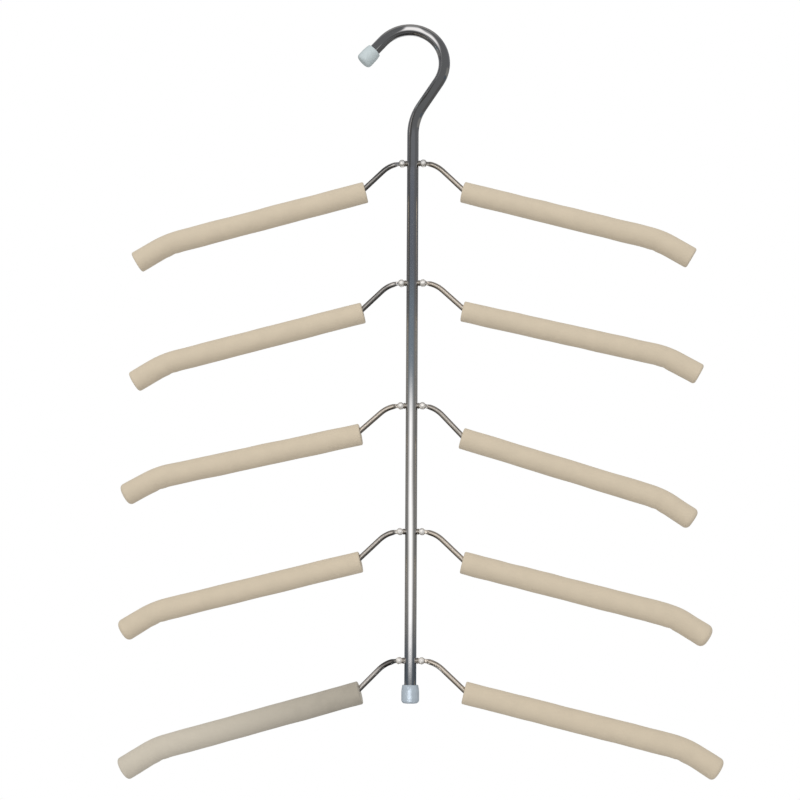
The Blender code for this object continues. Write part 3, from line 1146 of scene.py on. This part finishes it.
@dataclass(frozen=True)
class Rivet:
    """A rivet across a slotted head, with a low dome at both ends."""

    number: int
    side: Side
    shank_radius: float = 0.7 * MM
    head_radius: float = 1.8 * MM
    seat: float = 2.2 * MM
    rim: float = 0.3 * MM
    under_edge: float = 0.15 * MM
    top: float = 3.25 * MM
    columns: int = 48

    def profile(self) -> np.ndarray:
        """Rows of (radius, height): a dome is an ellipse quarter of head_radius by top - seat - rim.

        Returns:
            The rows, from the middle of one dome to the middle of the other.
        """
        angle = np.radians(np.linspace(0, 90, 15))
        foot = self.seat + self.rim
        dome = np.stack([self.head_radius * np.cos(angle), foot + (self.top - foot) * np.sin(angle)], axis=1)
        edge = self.under_edge
        base = arc_profile((self.head_radius - edge, self.seat + edge), edge, 270, 360, steps=4)
        half = np.concatenate([[(self.shank_radius, self.seat)], base, dome])
        half[-1, 0] = 0.0
        return np.concatenate([half[::-1] * (1, -1), half])

    def build(self) -> None:
        """Builds and dresses the rivet."""
        node = f"rivet_{self.side.word}_{self.number}"
        points = revolve(self.profile(), box_middle(node), DEPTH, self.columns)
        mesh = grid_mesh(node, points, 2 * np.pi * self.head_radius)
        name = f"domed_rivet_{self.side.word}_{self.number}"
        add_piece(name, mesh, RIVET_STEEL, POST_BODY, node)


# The arms


@dataclass(frozen=True)
class ArmFit:
    """How one arm strays from the nominal one.

    Attributes:
        droop: the share of the droop that its stop leaves it.
        run: the share of its straight run.
        lead: the share of its sleeve's reach up the wire.
        knee: the share of its knee's turn.
        girth: the share of its sleeve's radius.
        tip_edge: the radius of the rounded edge at its tip, in millimetres.
        plate: the finish of its wire; every plate but the warm one is a darker copy of it, painted shade.
        foam: the finish of its sleeve; the shaded foam is a greyer copy of the foam with painted shade.
    """

    droop: float
    run: float
    lead: float
    knee: float
    girth: float
    tip_edge: float
    plate: MetalFinish = WARM_PLATE
    foam: FoamFinish = BEIGE_FOAM


# Every plate but the warm one is a darker copy of the plating, painted shade. The foam of one arm is a copy
# with painted shade.
ARM_FITS = {
    Side.LEFT: (
        ArmFit(1.02, 1.00, 1.38, 1.00, 1.01, 1.4, DEEP_SHADE_PLATE),
        ArmFit(1.01, 0.993, 1.13, 1.00, 0.99, 1.8, DEEP_SHADE_PLATE),
        ArmFit(0.85, 1.003, 1.11, 1.04, 1.005, 3.0),
        ArmFit(0.98, 1.008, 1.18, 1.08, 0.98, 3.4, SHADED_PLATE),
        ArmFit(1.11, 0.996, 1.13, 1.00, 1.04, 1.9, SHADED_START_PLATE, SHADED_FOAM),
    ),
    Side.RIGHT: (
        ArmFit(1.06, 0.986, 0.77, 1.00, 0.99, 1.6),
        ArmFit(0.94, 0.996, 0.97, 1.00, 0.96, 2.0),
        ArmFit(1.22, 0.987, 0.74, 1.05, 0.98, 3.6, SHADED_PLATE),
        ArmFit(1.00, 1.021, 0.93, 1.15, 1.02, 4.4),
        ArmFit(0.96, 1.05, 0.71, 1.18, 1.01, 3.0),
    ),
}


@dataclass(frozen=True)
class ArmShape:
    """The lines of one arm, worked out on the right side of the post and mirrored where it is on the left.

    The fit says how this arm strays from the nominal one.
    """

    number: int
    side: Side
    pivot: tuple[float, float]
    fit: ArmFit
    wire_radius: float = 1.9 * MM
    eye_radius: float = 1.45 * MM
    shoulder_radius: float = 20.7 * MM
    shoulder_turn: float = math.radians(43.5)
    shoulder_run: float = 24.4 * MM
    root_radius: float = 8.0 * MM
    droop: float = math.radians(14.1)
    nominal_run: float = 145.0 * MM
    nominal_lead: float = 3.8 * MM
    knee_radius: float = 60.0 * MM
    nominal_knee: float = math.radians(16.0)
    tip_run: float = 27.3 * MM
    wire_setback: float = 4.0 * MM
    easing: float = 2.0 * MM
    corner_easing: float = 0.01 * MM

    @property
    def word(self) -> str:
        """The arm's word in the names of its pieces and nodes."""
        return f"{self.side.word}_{self.number}"

    @property
    def body(self) -> str:
        """The CAD body of the arm."""
        return f"{self.side.word}_arm_{self.number}"

    @property
    def sag(self) -> float:
        """How far the whole arm is turned down about its pivot from the nominal rest."""
        return self.droop * (self.fit.droop - 1)

    @property
    def lead(self) -> float:
        """How far the sleeve reaches up the wire beyond the corner of the root bend."""
        return self.nominal_lead * self.fit.lead

    @property
    def knee_turn(self) -> float:
        """How far the wire and its sleeve turn at the knee."""
        return self.nominal_knee * self.fit.knee

    @property
    def root_turn(self) -> float:
        """The turn of the root bend, from the shoulder's slope to the arm's."""
        return self.shoulder_turn - self.droop

    @property
    def steep(self) -> float:
        """The heading of the wire between its shoulder and its root bend."""
        return -self.shoulder_turn - self.sag

    @property
    def slope(self) -> float:
        """The heading of the arm's straight run."""
        return -self.droop - self.sag

    @property
    def knee_back(self) -> float:
        """What the knee takes off each of the straight runs that meet there."""
        return bend_setback(self.knee_radius, self.knee_turn)

    @property
    def root_back(self) -> float:
        """What the root bend takes off each of the straight runs that meet there."""
        return bend_setback(self.root_radius, self.root_turn)

    @property
    def straight(self) -> float:
        """The straight run from the root bend's corner to the knee."""
        return self.nominal_run * self.fit.run - self.knee_back

    def start(self) -> tuple[float, float]:
        """The pivot, with X measured outwards from the middle plane."""
        return self.side.value * self.pivot[0], self.pivot[1]

    def ahead(self, place: tuple[float, float], heading: float, length: float) -> tuple[float, float]:
        """The place straight ahead by a length, or behind where it is negative."""
        return place[0] + length * math.cos(heading), place[1] + length * math.sin(heading)

    def corner(self) -> tuple[float, float]:
        """The corner of the root bend, where the slopes of the shoulder and of the arm meet."""
        stretches = [bend(self.shoulder_radius, -self.shoulder_turn), Stretch(self.shoulder_run)]
        return trace(self.start(), -self.sag, stretches, self.corner_easing).end

    def rest_of_wire(self, setback: float) -> list[Stretch]:
        """The root bend, the straight run, the knee and the tip.

        Args:
            setback: how far it ends before the end of the tip.

        Returns:
            The stretches, in order.
        """
        return [
            bend(self.root_radius, self.root_turn),
            Stretch(self.straight - self.root_back),
            bend(self.knee_radius, -self.knee_turn),
            Stretch(self.tip_run - self.knee_back - setback),
        ]

    def wire_line(self) -> Line:
        """The wire's centre line from the rounded end of its eye to its tip.

        Returns:
            The line, on the right side.
        """
        start = self.ahead(self.start(), -self.sag, -self.eye_radius)
        stretches = [
            Stretch(self.eye_radius),
            bend(self.shoulder_radius, -self.shoulder_turn),
            Stretch(self.shoulder_run - self.root_back),
            *self.rest_of_wire(self.wire_setback),
        ]
        return trace(start, -self.sag, stretches, self.easing)

    def skin_line(self) -> Line:
        """The sleeve's own axis, from its inner end to its tip.

        Returns:
            The line, on the right side.
        """
        start = self.ahead(self.corner(), self.slope, -self.lead)
        stretches = [
            Stretch(self.lead + self.straight),
            bend(self.knee_radius, -self.knee_turn),
            Stretch(self.tip_run - self.knee_back),
        ]
        return trace(start, self.slope, stretches, self.easing)

    def bore_line(self) -> Line:
        """The line of the sleeve's bore, which follows the wire from the sleeve's inner end to its tip.

        Returns:
            The line, on the right side.
        """
        climb = self.lead / math.cos(self.root_turn)
        start = self.ahead(self.corner(), self.steep, -climb)
        stretches = [Stretch(climb - self.root_back), *self.rest_of_wire(0.0)]
        return trace(start, self.steep, stretches, self.easing)


@dataclass(frozen=True)
class ArmWire:
    """An arm's wire, pressed flat near its pivot, where it has an eye for the rivet."""

    shape: ArmShape
    tongue_half: float = 0.75 * MM
    tongue_length: float = 2.7 * MM
    taper_length: float = 3.0 * MM
    eye_hole_radius: float = 1.0 * MM
    tip_edge: float = 0.5 * MM
    shown_length: float = 46.0 * MM
    shown_step: float = 0.45 * MM
    hidden_step: float = 2.5 * MM
    columns: int = 48

    def rows(self, length: float) -> np.ndarray:
        """Distances of the rows: close where the wire shows, even round both of its ends.

        Args:
            length: the length of the wire's line.

        Returns:
            The distances, without the tip itself.
        """
        eye = self.shape.eye_radius
        ends = np.linspace(0, QUARTER_TURN, 11)
        near = eye * (1 - np.cos(ends))
        shown = np.arange(eye + self.shown_step, self.shown_length, self.shown_step)
        hidden = np.arange(self.shown_length, length - self.tip_edge, self.hidden_step)
        far = length - self.tip_edge * (1 - np.cos(ends[::-1]))
        return np.concatenate([near, shown, hidden, far])

    def mesh(self) -> bpy.types.Mesh:
        """The wire as a section carried along its line, with a Boolean hole for the rivet.

        The round section is radius * (cos a, sin a). The pressed one holds its depth to +-tongue_half as
        d / (1 + |d / tongue_half|^8)^(1/8). Past the tongue the section goes from one to the other over the
        taper, as 3t^2 - 2t^3. The eye's end is half round: its radius is sqrt(eye^2 - (eye - distance)^2).

        Returns:
            The mesh, in its place.
        """
        eye, line = self.shape.eye_radius, self.shape.wire_line()
        rows = self.rows(line.length)
        angle = circle_angles(self.columns)
        taper = smooth_step((rows - eye - self.tongue_length) / self.taper_length)
        radius = eye + (self.shape.wire_radius - eye) * taper
        radius = radius - rounded(rows, line.length, (eye, self.tip_edge))
        radius[0] = 0.0
        tip = np.concatenate([rows, [line.length]])
        radius = np.concatenate([radius, [0.0]])[:, None]
        taper = np.concatenate([taper, [1.0]])[:, None]
        depth = radius * np.sin(angle)
        pressed = depth / (1 + np.abs(depth / self.tongue_half) ** 8) ** 0.125
        depth = pressed + (depth - pressed) * taper
        points = sweep(line.at(tip), radius * np.cos(angle), depth, self.shape.side)
        bar = grid_mesh("wire", points, 2 * np.pi * self.shape.wire_radius)
        place = Vector((self.shape.pivot[0], 0, self.shape.pivot[1]))
        hole = cylinder(place, DEPTH, self.eye_hole_radius, 4 * self.tongue_half)
        return combined(bar, [(Cut.DIFFERENCE, hole)])

    def build(self) -> None:
        """Builds and dresses the wire."""
        word = self.shape.word
        plate = self.shape.fit.plate
        add_piece(f"plated_wire_{word}", self.mesh(), plate, self.shape.body, f"wire_{word}")


@dataclass(frozen=True)
class FoamSleeve:
    """A foam tube pushed over an arm's wire, with rounded ends and a creased knee."""

    shape: ArmShape
    nominal_radius: float = 7.85 * MM
    taper_share: float = 0.03
    edge: float = 1.0 * MM
    bore_radius: float = 2.05 * MM
    bore_edge: float = 0.5 * MM
    seed: int = 97
    ripple: float = 0.035 * MM
    ripple_gaps: tuple[float, float] = (18.0 * MM, 70.0 * MM)
    crease: float = 0.28 * MM
    crease_reach: float = 1.7 * MM
    bulge_share: float = 0.4
    bulge_place: float = 4.5 * MM
    bulge_reach: float = 2.2 * MM
    knee_stray: float = 2.0 * MM
    wrinkle: float = 0.04 * MM
    wrinkle_gap: float = 2.6 * MM
    wrinkle_reach: float = 12.0 * MM
    wrinkle_wander: float = 0.8
    slant_reach: float = 4.0 * MM
    columns: int = 80
    row_step: float = 0.6 * MM
    bore_step: float = 3.0 * MM
    face_rows: int = 8
    fill: float = 0.95

    @property
    def radius(self) -> float:
        """The sleeve's plain radius, half way along."""
        return self.nominal_radius * self.shape.fit.girth

    @property
    def edges(self) -> tuple[float, float]:
        """The radii of the rounded edges at the inner end and at the tip."""
        return self.edge, self.shape.fit.tip_edge * MM

    def unevenness(self, distance: np.ndarray, angle: np.ndarray) -> np.ndarray:
        """How far the skin stands off its plain radius.

        Long ripples are the sum of ripple * cos(2 pi distance / wave + k * angle + phase) for six seeded
        waves. On the knee's inner side, weighted by max(0, -cos angle)^2, the foam goes in by crease *
        exp(-(gap / crease_reach)^2) and bulges by a share of that on both sides, and small wrinkles fade out
        with their distance from the knee's middle.

        Args:
            distance: the rows' distances along the sleeve, as a column.
            angle: the columns' angles, as a row.

        Returns:
            The offset of the radius, by row and column.
        """
        chance = np.random.default_rng(self.seed * self.shape.number + self.shape.side.value)
        offset = np.zeros(np.broadcast_shapes(distance.shape, angle.shape))
        for turns in (0, 0, 1, 1, 2, 3):
            wave = chance.uniform(*self.ripple_gaps)
            phase = chance.uniform(0, 2 * np.pi)
            offset += self.ripple * np.cos(2 * np.pi * distance / wave + turns * angle + phase)
        middle = self.shape.lead + self.shape.straight + self.shape.knee_radius * self.shape.knee_turn / 2
        gap = distance - middle - chance.uniform(-self.knee_stray, self.knee_stray)
        inner = np.maximum(0, -np.cos(angle)) ** 2
        bulge = self.bulge_share * np.exp(-(((abs(gap) - self.bulge_place) / self.bulge_reach) ** 2))
        crease = bulge - np.exp(-((gap / self.crease_reach) ** 2))
        fade = smooth_step(1 - abs(gap) / self.wrinkle_reach)
        wander = self.wrinkle_wander * np.sin(3 * angle + chance.uniform(0, 2 * np.pi))
        wrinkle = np.cos(2 * np.pi * gap / self.wrinkle_gap + wander) * fade
        return offset + inner * (self.crease * crease + self.wrinkle * wrinkle)

    def skin(self, angle: np.ndarray) -> np.ndarray:
        """The outer surface, from the inner end to the tip.

        The plain radius grows by taper_share from end to end, because the wire's knee stretches the foam.

        Args:
            angle: the columns' angles, as a row.

        Returns:
            The points, as rows x columns x 3.
        """
        line = self.shape.skin_line()
        rows = rows_along(line.length, self.row_step, self.edges, edge_rows=10)
        radius = self.radius * (1 + self.taper_share * (rows / line.length - 0.5))
        radius = (radius - rounded(rows, line.length, self.edges))[:, None]
        radius = radius + self.unevenness(rows[:, None], angle)
        return sweep(line.at(rows), radius * np.cos(angle), radius * np.sin(angle), self.shape.side)

    def bore(self, angle: np.ndarray) -> np.ndarray:
        """The bore, from the inner end to the tip.

        Its first ring lies in the plane of the sleeve's end, which slants by t to the wire. So a point goes
        ahead by across * tan t there. The slant fades out over slant_reach.

        Args:
            angle: the columns' angles, as a row.

        Returns:
            The points, as rows x columns x 3.
        """
        line = self.shape.bore_line()
        rows = rows_along(line.length, self.bore_step, (self.bore_edge, self.bore_edge), edge_rows=2)
        across = self.bore_radius * np.cos(angle) + 0 * rows[:, None]
        slant = 1 - smooth_step(rows[:, None] / self.slant_reach)
        ahead = across * math.tan(self.shape.steep - self.shape.slope) * slant
        return sweep(line.at(rows), across, self.bore_radius * np.sin(angle), self.shape.side, ahead)

    def mesh(self) -> bpy.types.Mesh:
        """The sleeve as one closed ring of rows: skin, tip face, bore, inner face.

        An end face's rows go evenly from the skin's edge to the bore's. The attribute cut is 1 on both faces.

        Returns:
            The mesh, in its place.
        """
        angle = circle_angles(self.columns)
        skin, bore = self.skin(angle), self.bore(angle)
        share = np.linspace(0, 1, self.face_rows + 1)[1:-1, None, None]
        tip_face = skin[-1] + (bore[-1] - skin[-1]) * share
        inner_face = bore[0] + (skin[0] - bore[0]) * share
        parts = ((skin, 0.0), (tip_face, 1.0), (bore[::-1], 0.0), (inner_face, 1.0))
        points = np.concatenate([part for part, _ in parts])
        cut = np.concatenate([np.full(len(part), mark) for part, mark in parts])
        return grid_mesh("sleeve", points, 2 * np.pi * self.radius, ring=True, cut=cut)

    def build(self) -> None:
        """Builds and dresses the sleeve."""
        name = f"foam_sleeve_{self.shape.word}"
        node = f"sleeve_{self.shape.word}"
        piece = add_piece(name, self.mesh(), self.shape.fit.foam, self.shape.body, node)


# The studio


@dataclass(frozen=True)
class Patch:
    """A soft-edged part of what the metal mirrors.

    On the room it is given in degrees: azimuth 0 is in front of the hanger and grows towards +X, and
    elevation 0 is level. On a card sheet it is given in millimetres along X and Z.
    """

    across: tuple[float, float]
    up: tuple[float, float]
    glow: tuple[float, float, float]
    side_edge: float = 6.0
    level_edge: float = 3.0

    def cover(self, across: np.ndarray, up: np.ndarray) -> np.ndarray:
        """The patch's weight at each place: the product of a smooth step over each of its four edges.

        Args:
            across: azimuths, or millimetres along X.
            up: elevations, or millimetres along Z.

        Returns:
            The weights, from 0 to 1.
        """
        middle, half = sum(self.across) / 2, (self.across[1] - self.across[0]) / 2
        aside = abs((across - middle + 180) % 360 - 180)
        weight = smooth_step((half - aside) / self.side_edge + 0.5) if half < 180 else 1.0
        weight = weight * smooth_step((up - self.up[0]) / self.level_edge + 0.5)
        return weight * smooth_step((self.up[1] - up) / self.level_edge + 0.5)


@dataclass(frozen=True)
class CardSheet:
    """An upright sheet in front of the hanger that carries mirrored cards, in millimetres."""

    name: str
    distance: float
    across: tuple[float, float]
    up: tuple[float, float]
    cards: tuple[Patch, ...]
    step: float = 1.0


# What the metal mirrors. Each patch is blended over the ones before it.

DRAPES = (0.155, 0.155, 0.16)
ROOM = (
    Patch((-180, 180), (-95, -8), (0.12, 0.115, 0.11), level_edge=8),
    Patch((-180, 180), (-95, -50), (0.04, 0.037, 0.035), level_edge=10),
    Patch((-60, 14), (-36, -9), (0.50, 0.46, 0.40), 14, 6),
    Patch((10, 50), (-34, -9), (0.25, 0.235, 0.22), 12, 6),
    Patch((110, 250), (20, 95), (0.25, 0.25, 0.25), 30, 16),
    Patch((160, 200), (-28, 10), (1.0, 1.0, 1.0), 10, 10),
    Patch((-180, 180), (-8, -1.3), (0.10, 0.12, 0.14), level_edge=2),
    Patch((-14, 8), (-9, -4.2), (0.62, 0.57, 0.52), 8, 2),
    Patch((-180, 180), (-1.3, 12), (0.27, 0.26, 0.24), level_edge=2.4),
    Patch((-62, 42), (8.5, 13.5), (0.22, 0.27, 0.31), 30, 3),
    Patch((-50, 34), (13.5, 19.5), (0.165, 0.18, 0.21), 40, 3),
    Patch((-85, -50), (12, 19.5), (0.10, 0.10, 0.10), 16, 3),
    Patch((-43, 19), (3.0, 8.7), (1.75, 1.69, 1.62), 64, 2.4),
    Patch((-36, 32), (0.2, 4.2), (1.75, 1.69, 1.60), 66, 2.4),
    Patch((-35, 31), (-2.2, 1.0), (1.75, 1.70, 1.65), 42, 2.3),
    Patch((-70, 45), (19.5, 38), (1.15, 1.05, 0.96), 20, 2.5),
    Patch((-180, 180), (60, 95), (0.35, 0.33, 0.31), level_edge=16),
)
HOOK_CARDS = (
    Patch((-38, 70), (-95, 62), (0.155, 0.155, 0.155), 6, 6),
    Patch((-12, 24), (-95, -68), (0.20, 0.205, 0.215), 16, 6),
    Patch((-38, -14), (-95, -60), (0.10, 0.098, 0.095), 8, 6),
    Patch((-26, 9), (-40, -19), (0.07, 0.066, 0.06), 6, 5),
    Patch((-30, -6), (-72, -38), (0.09, 0.087, 0.083), 6, 6),
    Patch((-28, -20), (-32, -20), (0.36, 0.36, 0.35), 5, 6),
    Patch((-13, -5), (-20, -13), (0.50, 0.49, 0.48), 4, 4),
    Patch((6, 20), (-2, 20), (0.40, 0.39, 0.38), 8, 12),
    Patch((-6, 11), (-4, 60), (0.36, 0.36, 0.35), 4, 10),
    Patch((-5, 10), (-4, 26), (0.75, 0.73, 0.71), 4, 10),
    Patch((-5.5, 9.5), (-4, 17), (1.38, 1.32, 1.27), 5, 14),
    Patch((1.5, 10.5), (-9.5, -3), (1.30, 1.25, 1.21), 5, 4),
    Patch((7.5, 16.5), (-6.5, 4.5), (1.32, 1.27, 1.23), 6, 6),
    Patch((-38, -4.2), (-14, 18), (0.16, 0.16, 0.16), 3, 6),
)
CAP_CARDS = (Patch((0, 5), (-490, -477.4), (9.0, 9.2, 9.5), 1.6, 1.2),)
CARD_SHEETS = (
    CardSheet("hook_cards", 22, (-46, 80), (-104, 72), HOOK_CARDS),
    CardSheet("cap_cards", 9, (-3, 8), (-494, -474), CAP_CARDS, 0.25),
)


@dataclass(frozen=True)
class Studio:
    """The camera, the soft light, the pale floor and what the metal mirrors."""

    aim: tuple[float, float, float] = (-0.0051, 0.0, -0.2747)
    distance: float = 1.050
    elevation_degrees: float = -8.47
    yaw_degrees: float = 4.03
    roll_degrees: float = 0.352
    lens: float = 65.81
    sensor_width: float = 36.0
    ambient_high: float = 0.62
    ambient_low: float = 0.54
    key_power: float = 26.0
    key_width: float = 2.0
    key_distance: float = 2.5
    key_direction: tuple[float, float, float] = (-0.1, -0.90, 0.40)
    floor_height: float = -1.0
    floor_radius: float = 2.4
    floor_fade: tuple[float, float] = (0.84, 2.352)
    floor_tones: tuple[float, float] = (0.77, 0.8)
    floor_glow: float = 0.45
    dome_radius: float = 20.0

    def camera(self) -> None:
        """A camera at the photograph's angle: back = (sin yaw cos el, -cos yaw cos el, sin el), then roll."""
        angles = (self.yaw_degrees, self.elevation_degrees, self.roll_degrees)
        yaw, tilt, roll = (math.radians(angle) for angle in angles)
        back = Vector((math.sin(yaw) * math.cos(tilt), -math.cos(yaw) * math.cos(tilt), math.sin(tilt)))
        level = Vector((math.cos(yaw), math.sin(yaw), 0))
        up = back.cross(level)
        right = level * math.cos(roll) + up * math.sin(roll)
        top = up * math.cos(roll) - level * math.sin(roll)
        place = Matrix((right, top, back)).transposed().to_4x4()
        place.translation = Vector(self.aim) + back * self.distance
        data = bpy.data.cameras.new("camera")
        data.sensor_width = self.sensor_width
        data.lens = self.lens
        data.clip_end = 3 * self.dome_radius
        camera = linked("camera", data)
        camera.matrix_world = place
        bpy.context.scene.camera = camera

    def world(self) -> None:
        """A white world for the camera, gloss and glass, and soft ambient light, stronger from above."""
        world = bpy.data.worlds.new("studio")
        world.use_nodes = True
        tree = world.node_tree
        tree.nodes.clear()
        web = NodeWeb(tree)
        seen = web.add("LightPath").outputs
        shown = web.calc("ADD", seen["Is Camera Ray"], seen["Is Glossy Ray"])
        shown = web.calc("MINIMUM", web.calc("ADD", shown, seen["Is Transmission Ray"]), 1.0)
        height = web.part(web.coordinates("Generated"), "Z")
        light = web.spread(height, -1.0, 1.0, self.ambient_low, self.ambient_high)
        ambient = web.add("Background", {"Color": (1, 1, 1, 1), "Strength": light}).outputs[0]
        white = web.add("Background", {"Color": (1, 1, 1, 1), "Strength": 1.0}).outputs[0]
        mix = web.add("MixShader", {0: shown, 1: ambient, 2: white}).outputs[0]
        web.add("OutputWorld", {"Surface": mix})
        bpy.context.scene.world = world

    def key_light(self) -> None:
        """A large soft lamp in front and above, for the foam. The metal mirrors the patches instead."""
        data = bpy.data.lights.new("key", "AREA")
        data.shape = "SQUARE"
        data.size = self.key_width
        data.energy = self.key_power
        key = linked("key", data)
        direction = Vector(self.key_direction).normalized()
        key.location = Vector(self.aim) + direction * self.key_distance
        key.rotation_euler = direction.to_track_quat("Z", "Y").to_euler()
        key.visible_glossy = False
        key.visible_camera = False

    def floor(self) -> None:
        """A pale round floor well below the hanger, fading out at its rim, which keeps the shadow."""
        rings, columns = 24, 96
        angle = circle_angles(columns)
        radius = np.linspace(0, self.floor_radius, rings)[:, None]
        places = np.broadcast_arrays(radius * np.cos(angle), radius * np.sin(angle), self.floor_height)
        mesh = grid_mesh("floor", np.stack(places, axis=-1), 1.0)
        material, web, shader = new_material("pale_floor")
        place = web.coordinates("Object")
        flat = web.stretched(place, (1.0, 1.0, 0.0))
        reach = web.add("VectorMath", {0: flat}, operation="LENGTH").outputs["Value"]
        fade = web.spread(reach, *self.floor_fade, 1.0, 0.0)
        grain = web.spread(web.noise(place, 9.0, 4.0), *NOISE_RANGE, *self.floor_tones)
        colour = web.add("CombineColor", {"Red": grain, "Green": grain, "Blue": grain}).outputs["Color"]
        seen = web.add("LightPath").outputs["Is Camera Ray"]
        glow = web.calc("MULTIPLY", seen, self.floor_glow)
        web.feed_all(shader, {"Base Color": colour, "Roughness": 0.9, "Alpha": fade})
        web.feed_all(shader, {"Emission Color": (1.0, 1.0, 1.0, 1.0), "Emission Strength": glow})
        mesh.materials.append(material)
        floor = linked("floor", mesh)
        floor.visible_glossy = False

    def mirrored(
        self, name: str, points: np.ndarray, glow: np.ndarray, cover: np.ndarray, wrap: bool
    ) -> None:
        """Makes a sheet that only gloss and glass see, glowing where its cover is 1 and clear where it is 0.

        Args:
            name: the sheet's name.
            points: its points, as rows x columns x 3.
            glow: the colour at each point.
            cover: the cover at each point.
            wrap: whether the last column joins the first.
        """
        faces = grid_faces(*points.shape[:2], wrap=wrap)
        mesh = bpy.data.meshes.new(name)
        mesh.from_pydata(points.reshape(-1, 3).tolist(), [], faces.tolist())
        rgba = np.concatenate([glow, cover[..., None]], axis=-1).astype(np.float32)
        mesh.attributes.new("glow", "FLOAT_COLOR", "POINT").data.foreach_set("color", rgba.ravel())
        material = bpy.data.materials.new(name)
        material.use_nodes = True
        material.node_tree.nodes.clear()
        web = NodeWeb(material.node_tree)
        seen = web.add("Attribute", attribute_name="glow", attribute_type="GEOMETRY").outputs
        light = web.add("Emission", {"Color": seen["Color"], "Strength": 1.0}).outputs[0]
        clear = web.add("BsdfTransparent").outputs[0]
        mix = web.add("MixShader", {0: seen["Alpha"], 1: clear, 2: light}).outputs[0]
        web.add("OutputMaterial", {"Surface": mix})
        material.cycles.emission_sampling = "NONE"
        mesh.materials.append(material)
        sheet = linked(name, mesh)
        for hidden in ("camera", "diffuse", "shadow", "volume_scatter"):
            setattr(sheet, f"visible_{hidden}", False)

    def mirrored_room(self) -> None:
        """The drapes, soft boxes and windows that the metal mirrors, as a dome over azimuth and elevation.

        Its glow starts as the drapes' and is blended with each patch's glow in turn, by the patch's weight.
        """
        rows, columns = 361, 360
        elevation = np.linspace(-90, 90, rows)[:, None]
        azimuth = np.linspace(0, 360, columns, endpoint=False)[None, :]
        glow = np.broadcast_to(np.array(DRAPES), (rows, columns, 3)).copy()
        for patch in ROOM:
            weight = np.broadcast_to(patch.cover(azimuth, elevation), (rows, columns))[..., None]
            glow += (np.array(patch.glow) - glow) * weight
        around, height = np.radians(azimuth), np.radians(elevation)
        directions = (np.sin(around) * np.cos(height), -np.cos(around) * np.cos(height), np.sin(height))
        points = np.array(self.aim) + self.dome_radius * np.stack(np.broadcast_arrays(*directions), axis=-1)
        self.mirrored("mirrored_room", points, glow, np.ones((rows, columns)), wrap=True)

    def card_sheet(self, sheet: CardSheet) -> None:
        """The small cards close before the hanger, on one upright sheet that is clear between them.

        The glow is blended as the room's is, and the cover is 1 - (1 - w1)(1 - w2)... of the cards' weights.

        Args:
            sheet: the sheet with its cards.
        """
        x = np.arange(*sheet.across, sheet.step)[None, :]
        z = np.arange(*sheet.up, sheet.step)[:, None]
        glow = np.zeros((z.size, x.size, 3))
        clear = np.ones((z.size, x.size))
        for card in sheet.cards:
            weight = card.cover(x, z)
            glow += (np.array(card.glow) - glow) * np.where(clear == 1, 1.0, weight)[..., None]
            clear = clear * (1 - weight)
        places = np.broadcast_arrays(x * MM, -sheet.distance * MM, z * MM)
        self.mirrored(sheet.name, np.stack(places, axis=-1), glow, 1 - clear, wrap=False)

    def build(self) -> None:
        """Sets up the whole studio."""
        bpy.context.scene.view_settings.view_transform = "Standard"
        self.camera()
        self.world()
        self.key_light()
        self.floor()
        self.mirrored_room()
        for sheet in CARD_SHEETS:
            self.card_sheet(sheet)


# The hanger


@dataclass(frozen=True)
class Hanger:
    """The whole hanger, from the hook down."""

    tiers: int = 5

    def build_post(self) -> None:
        """Builds the hook and post with a cap on each end."""
        post = HookPost(self.tiers)
        post.build()
        line = post.line()
        foot, lip = (float(line.x[0]), float(line.z[0])), line.end
        EndCap("soft_cap_hook", "hook_cap", HOOK_VINYL, lip, float(line.heading[-1])).build()
        EndCap("soft_cap_foot", "post_cap", SHADED_FOOT_VINYL, foot, -QUARTER_TURN).build()

    def build_tier(self, number: int, pivots: dict[str, list[float]]) -> None:
        """Builds one tier: its cross rod, and on each side the rivet, the wire and the sleeve.

        Args:
            number: the tier, from 1 at the top.
            pivots: the place of each arm body's hinge.
        """
        CrossRod(number).build()
        for side in Side:
            fit = ARM_FITS[side][number - 1]
            pivot = pivots[f"{side.word}_arm_{number}"]
            shape = ArmShape(number, side, (pivot[0], pivot[2]), fit)
            Rivet(number, side).build()
            ArmWire(shape).build()
            FoamSleeve(shape).build()

    def build(self) -> None:
        """Builds every piece."""
        self.build_post()
        pivots = {joint["child"]: joint["pos_m"] for joint in frame["joints"]}
        for number in range(1, self.tiers + 1):
            self.build_tier(number, pivots)


def main() -> None:
    """Builds the hanger and its studio, and notes the sizes of the CAD model and of the visual one."""
    logging.basicConfig(level=logging.INFO, format="%(message)s")
    Hanger().build()
    Studio().build()


if __name__ == "__main__":
    main()
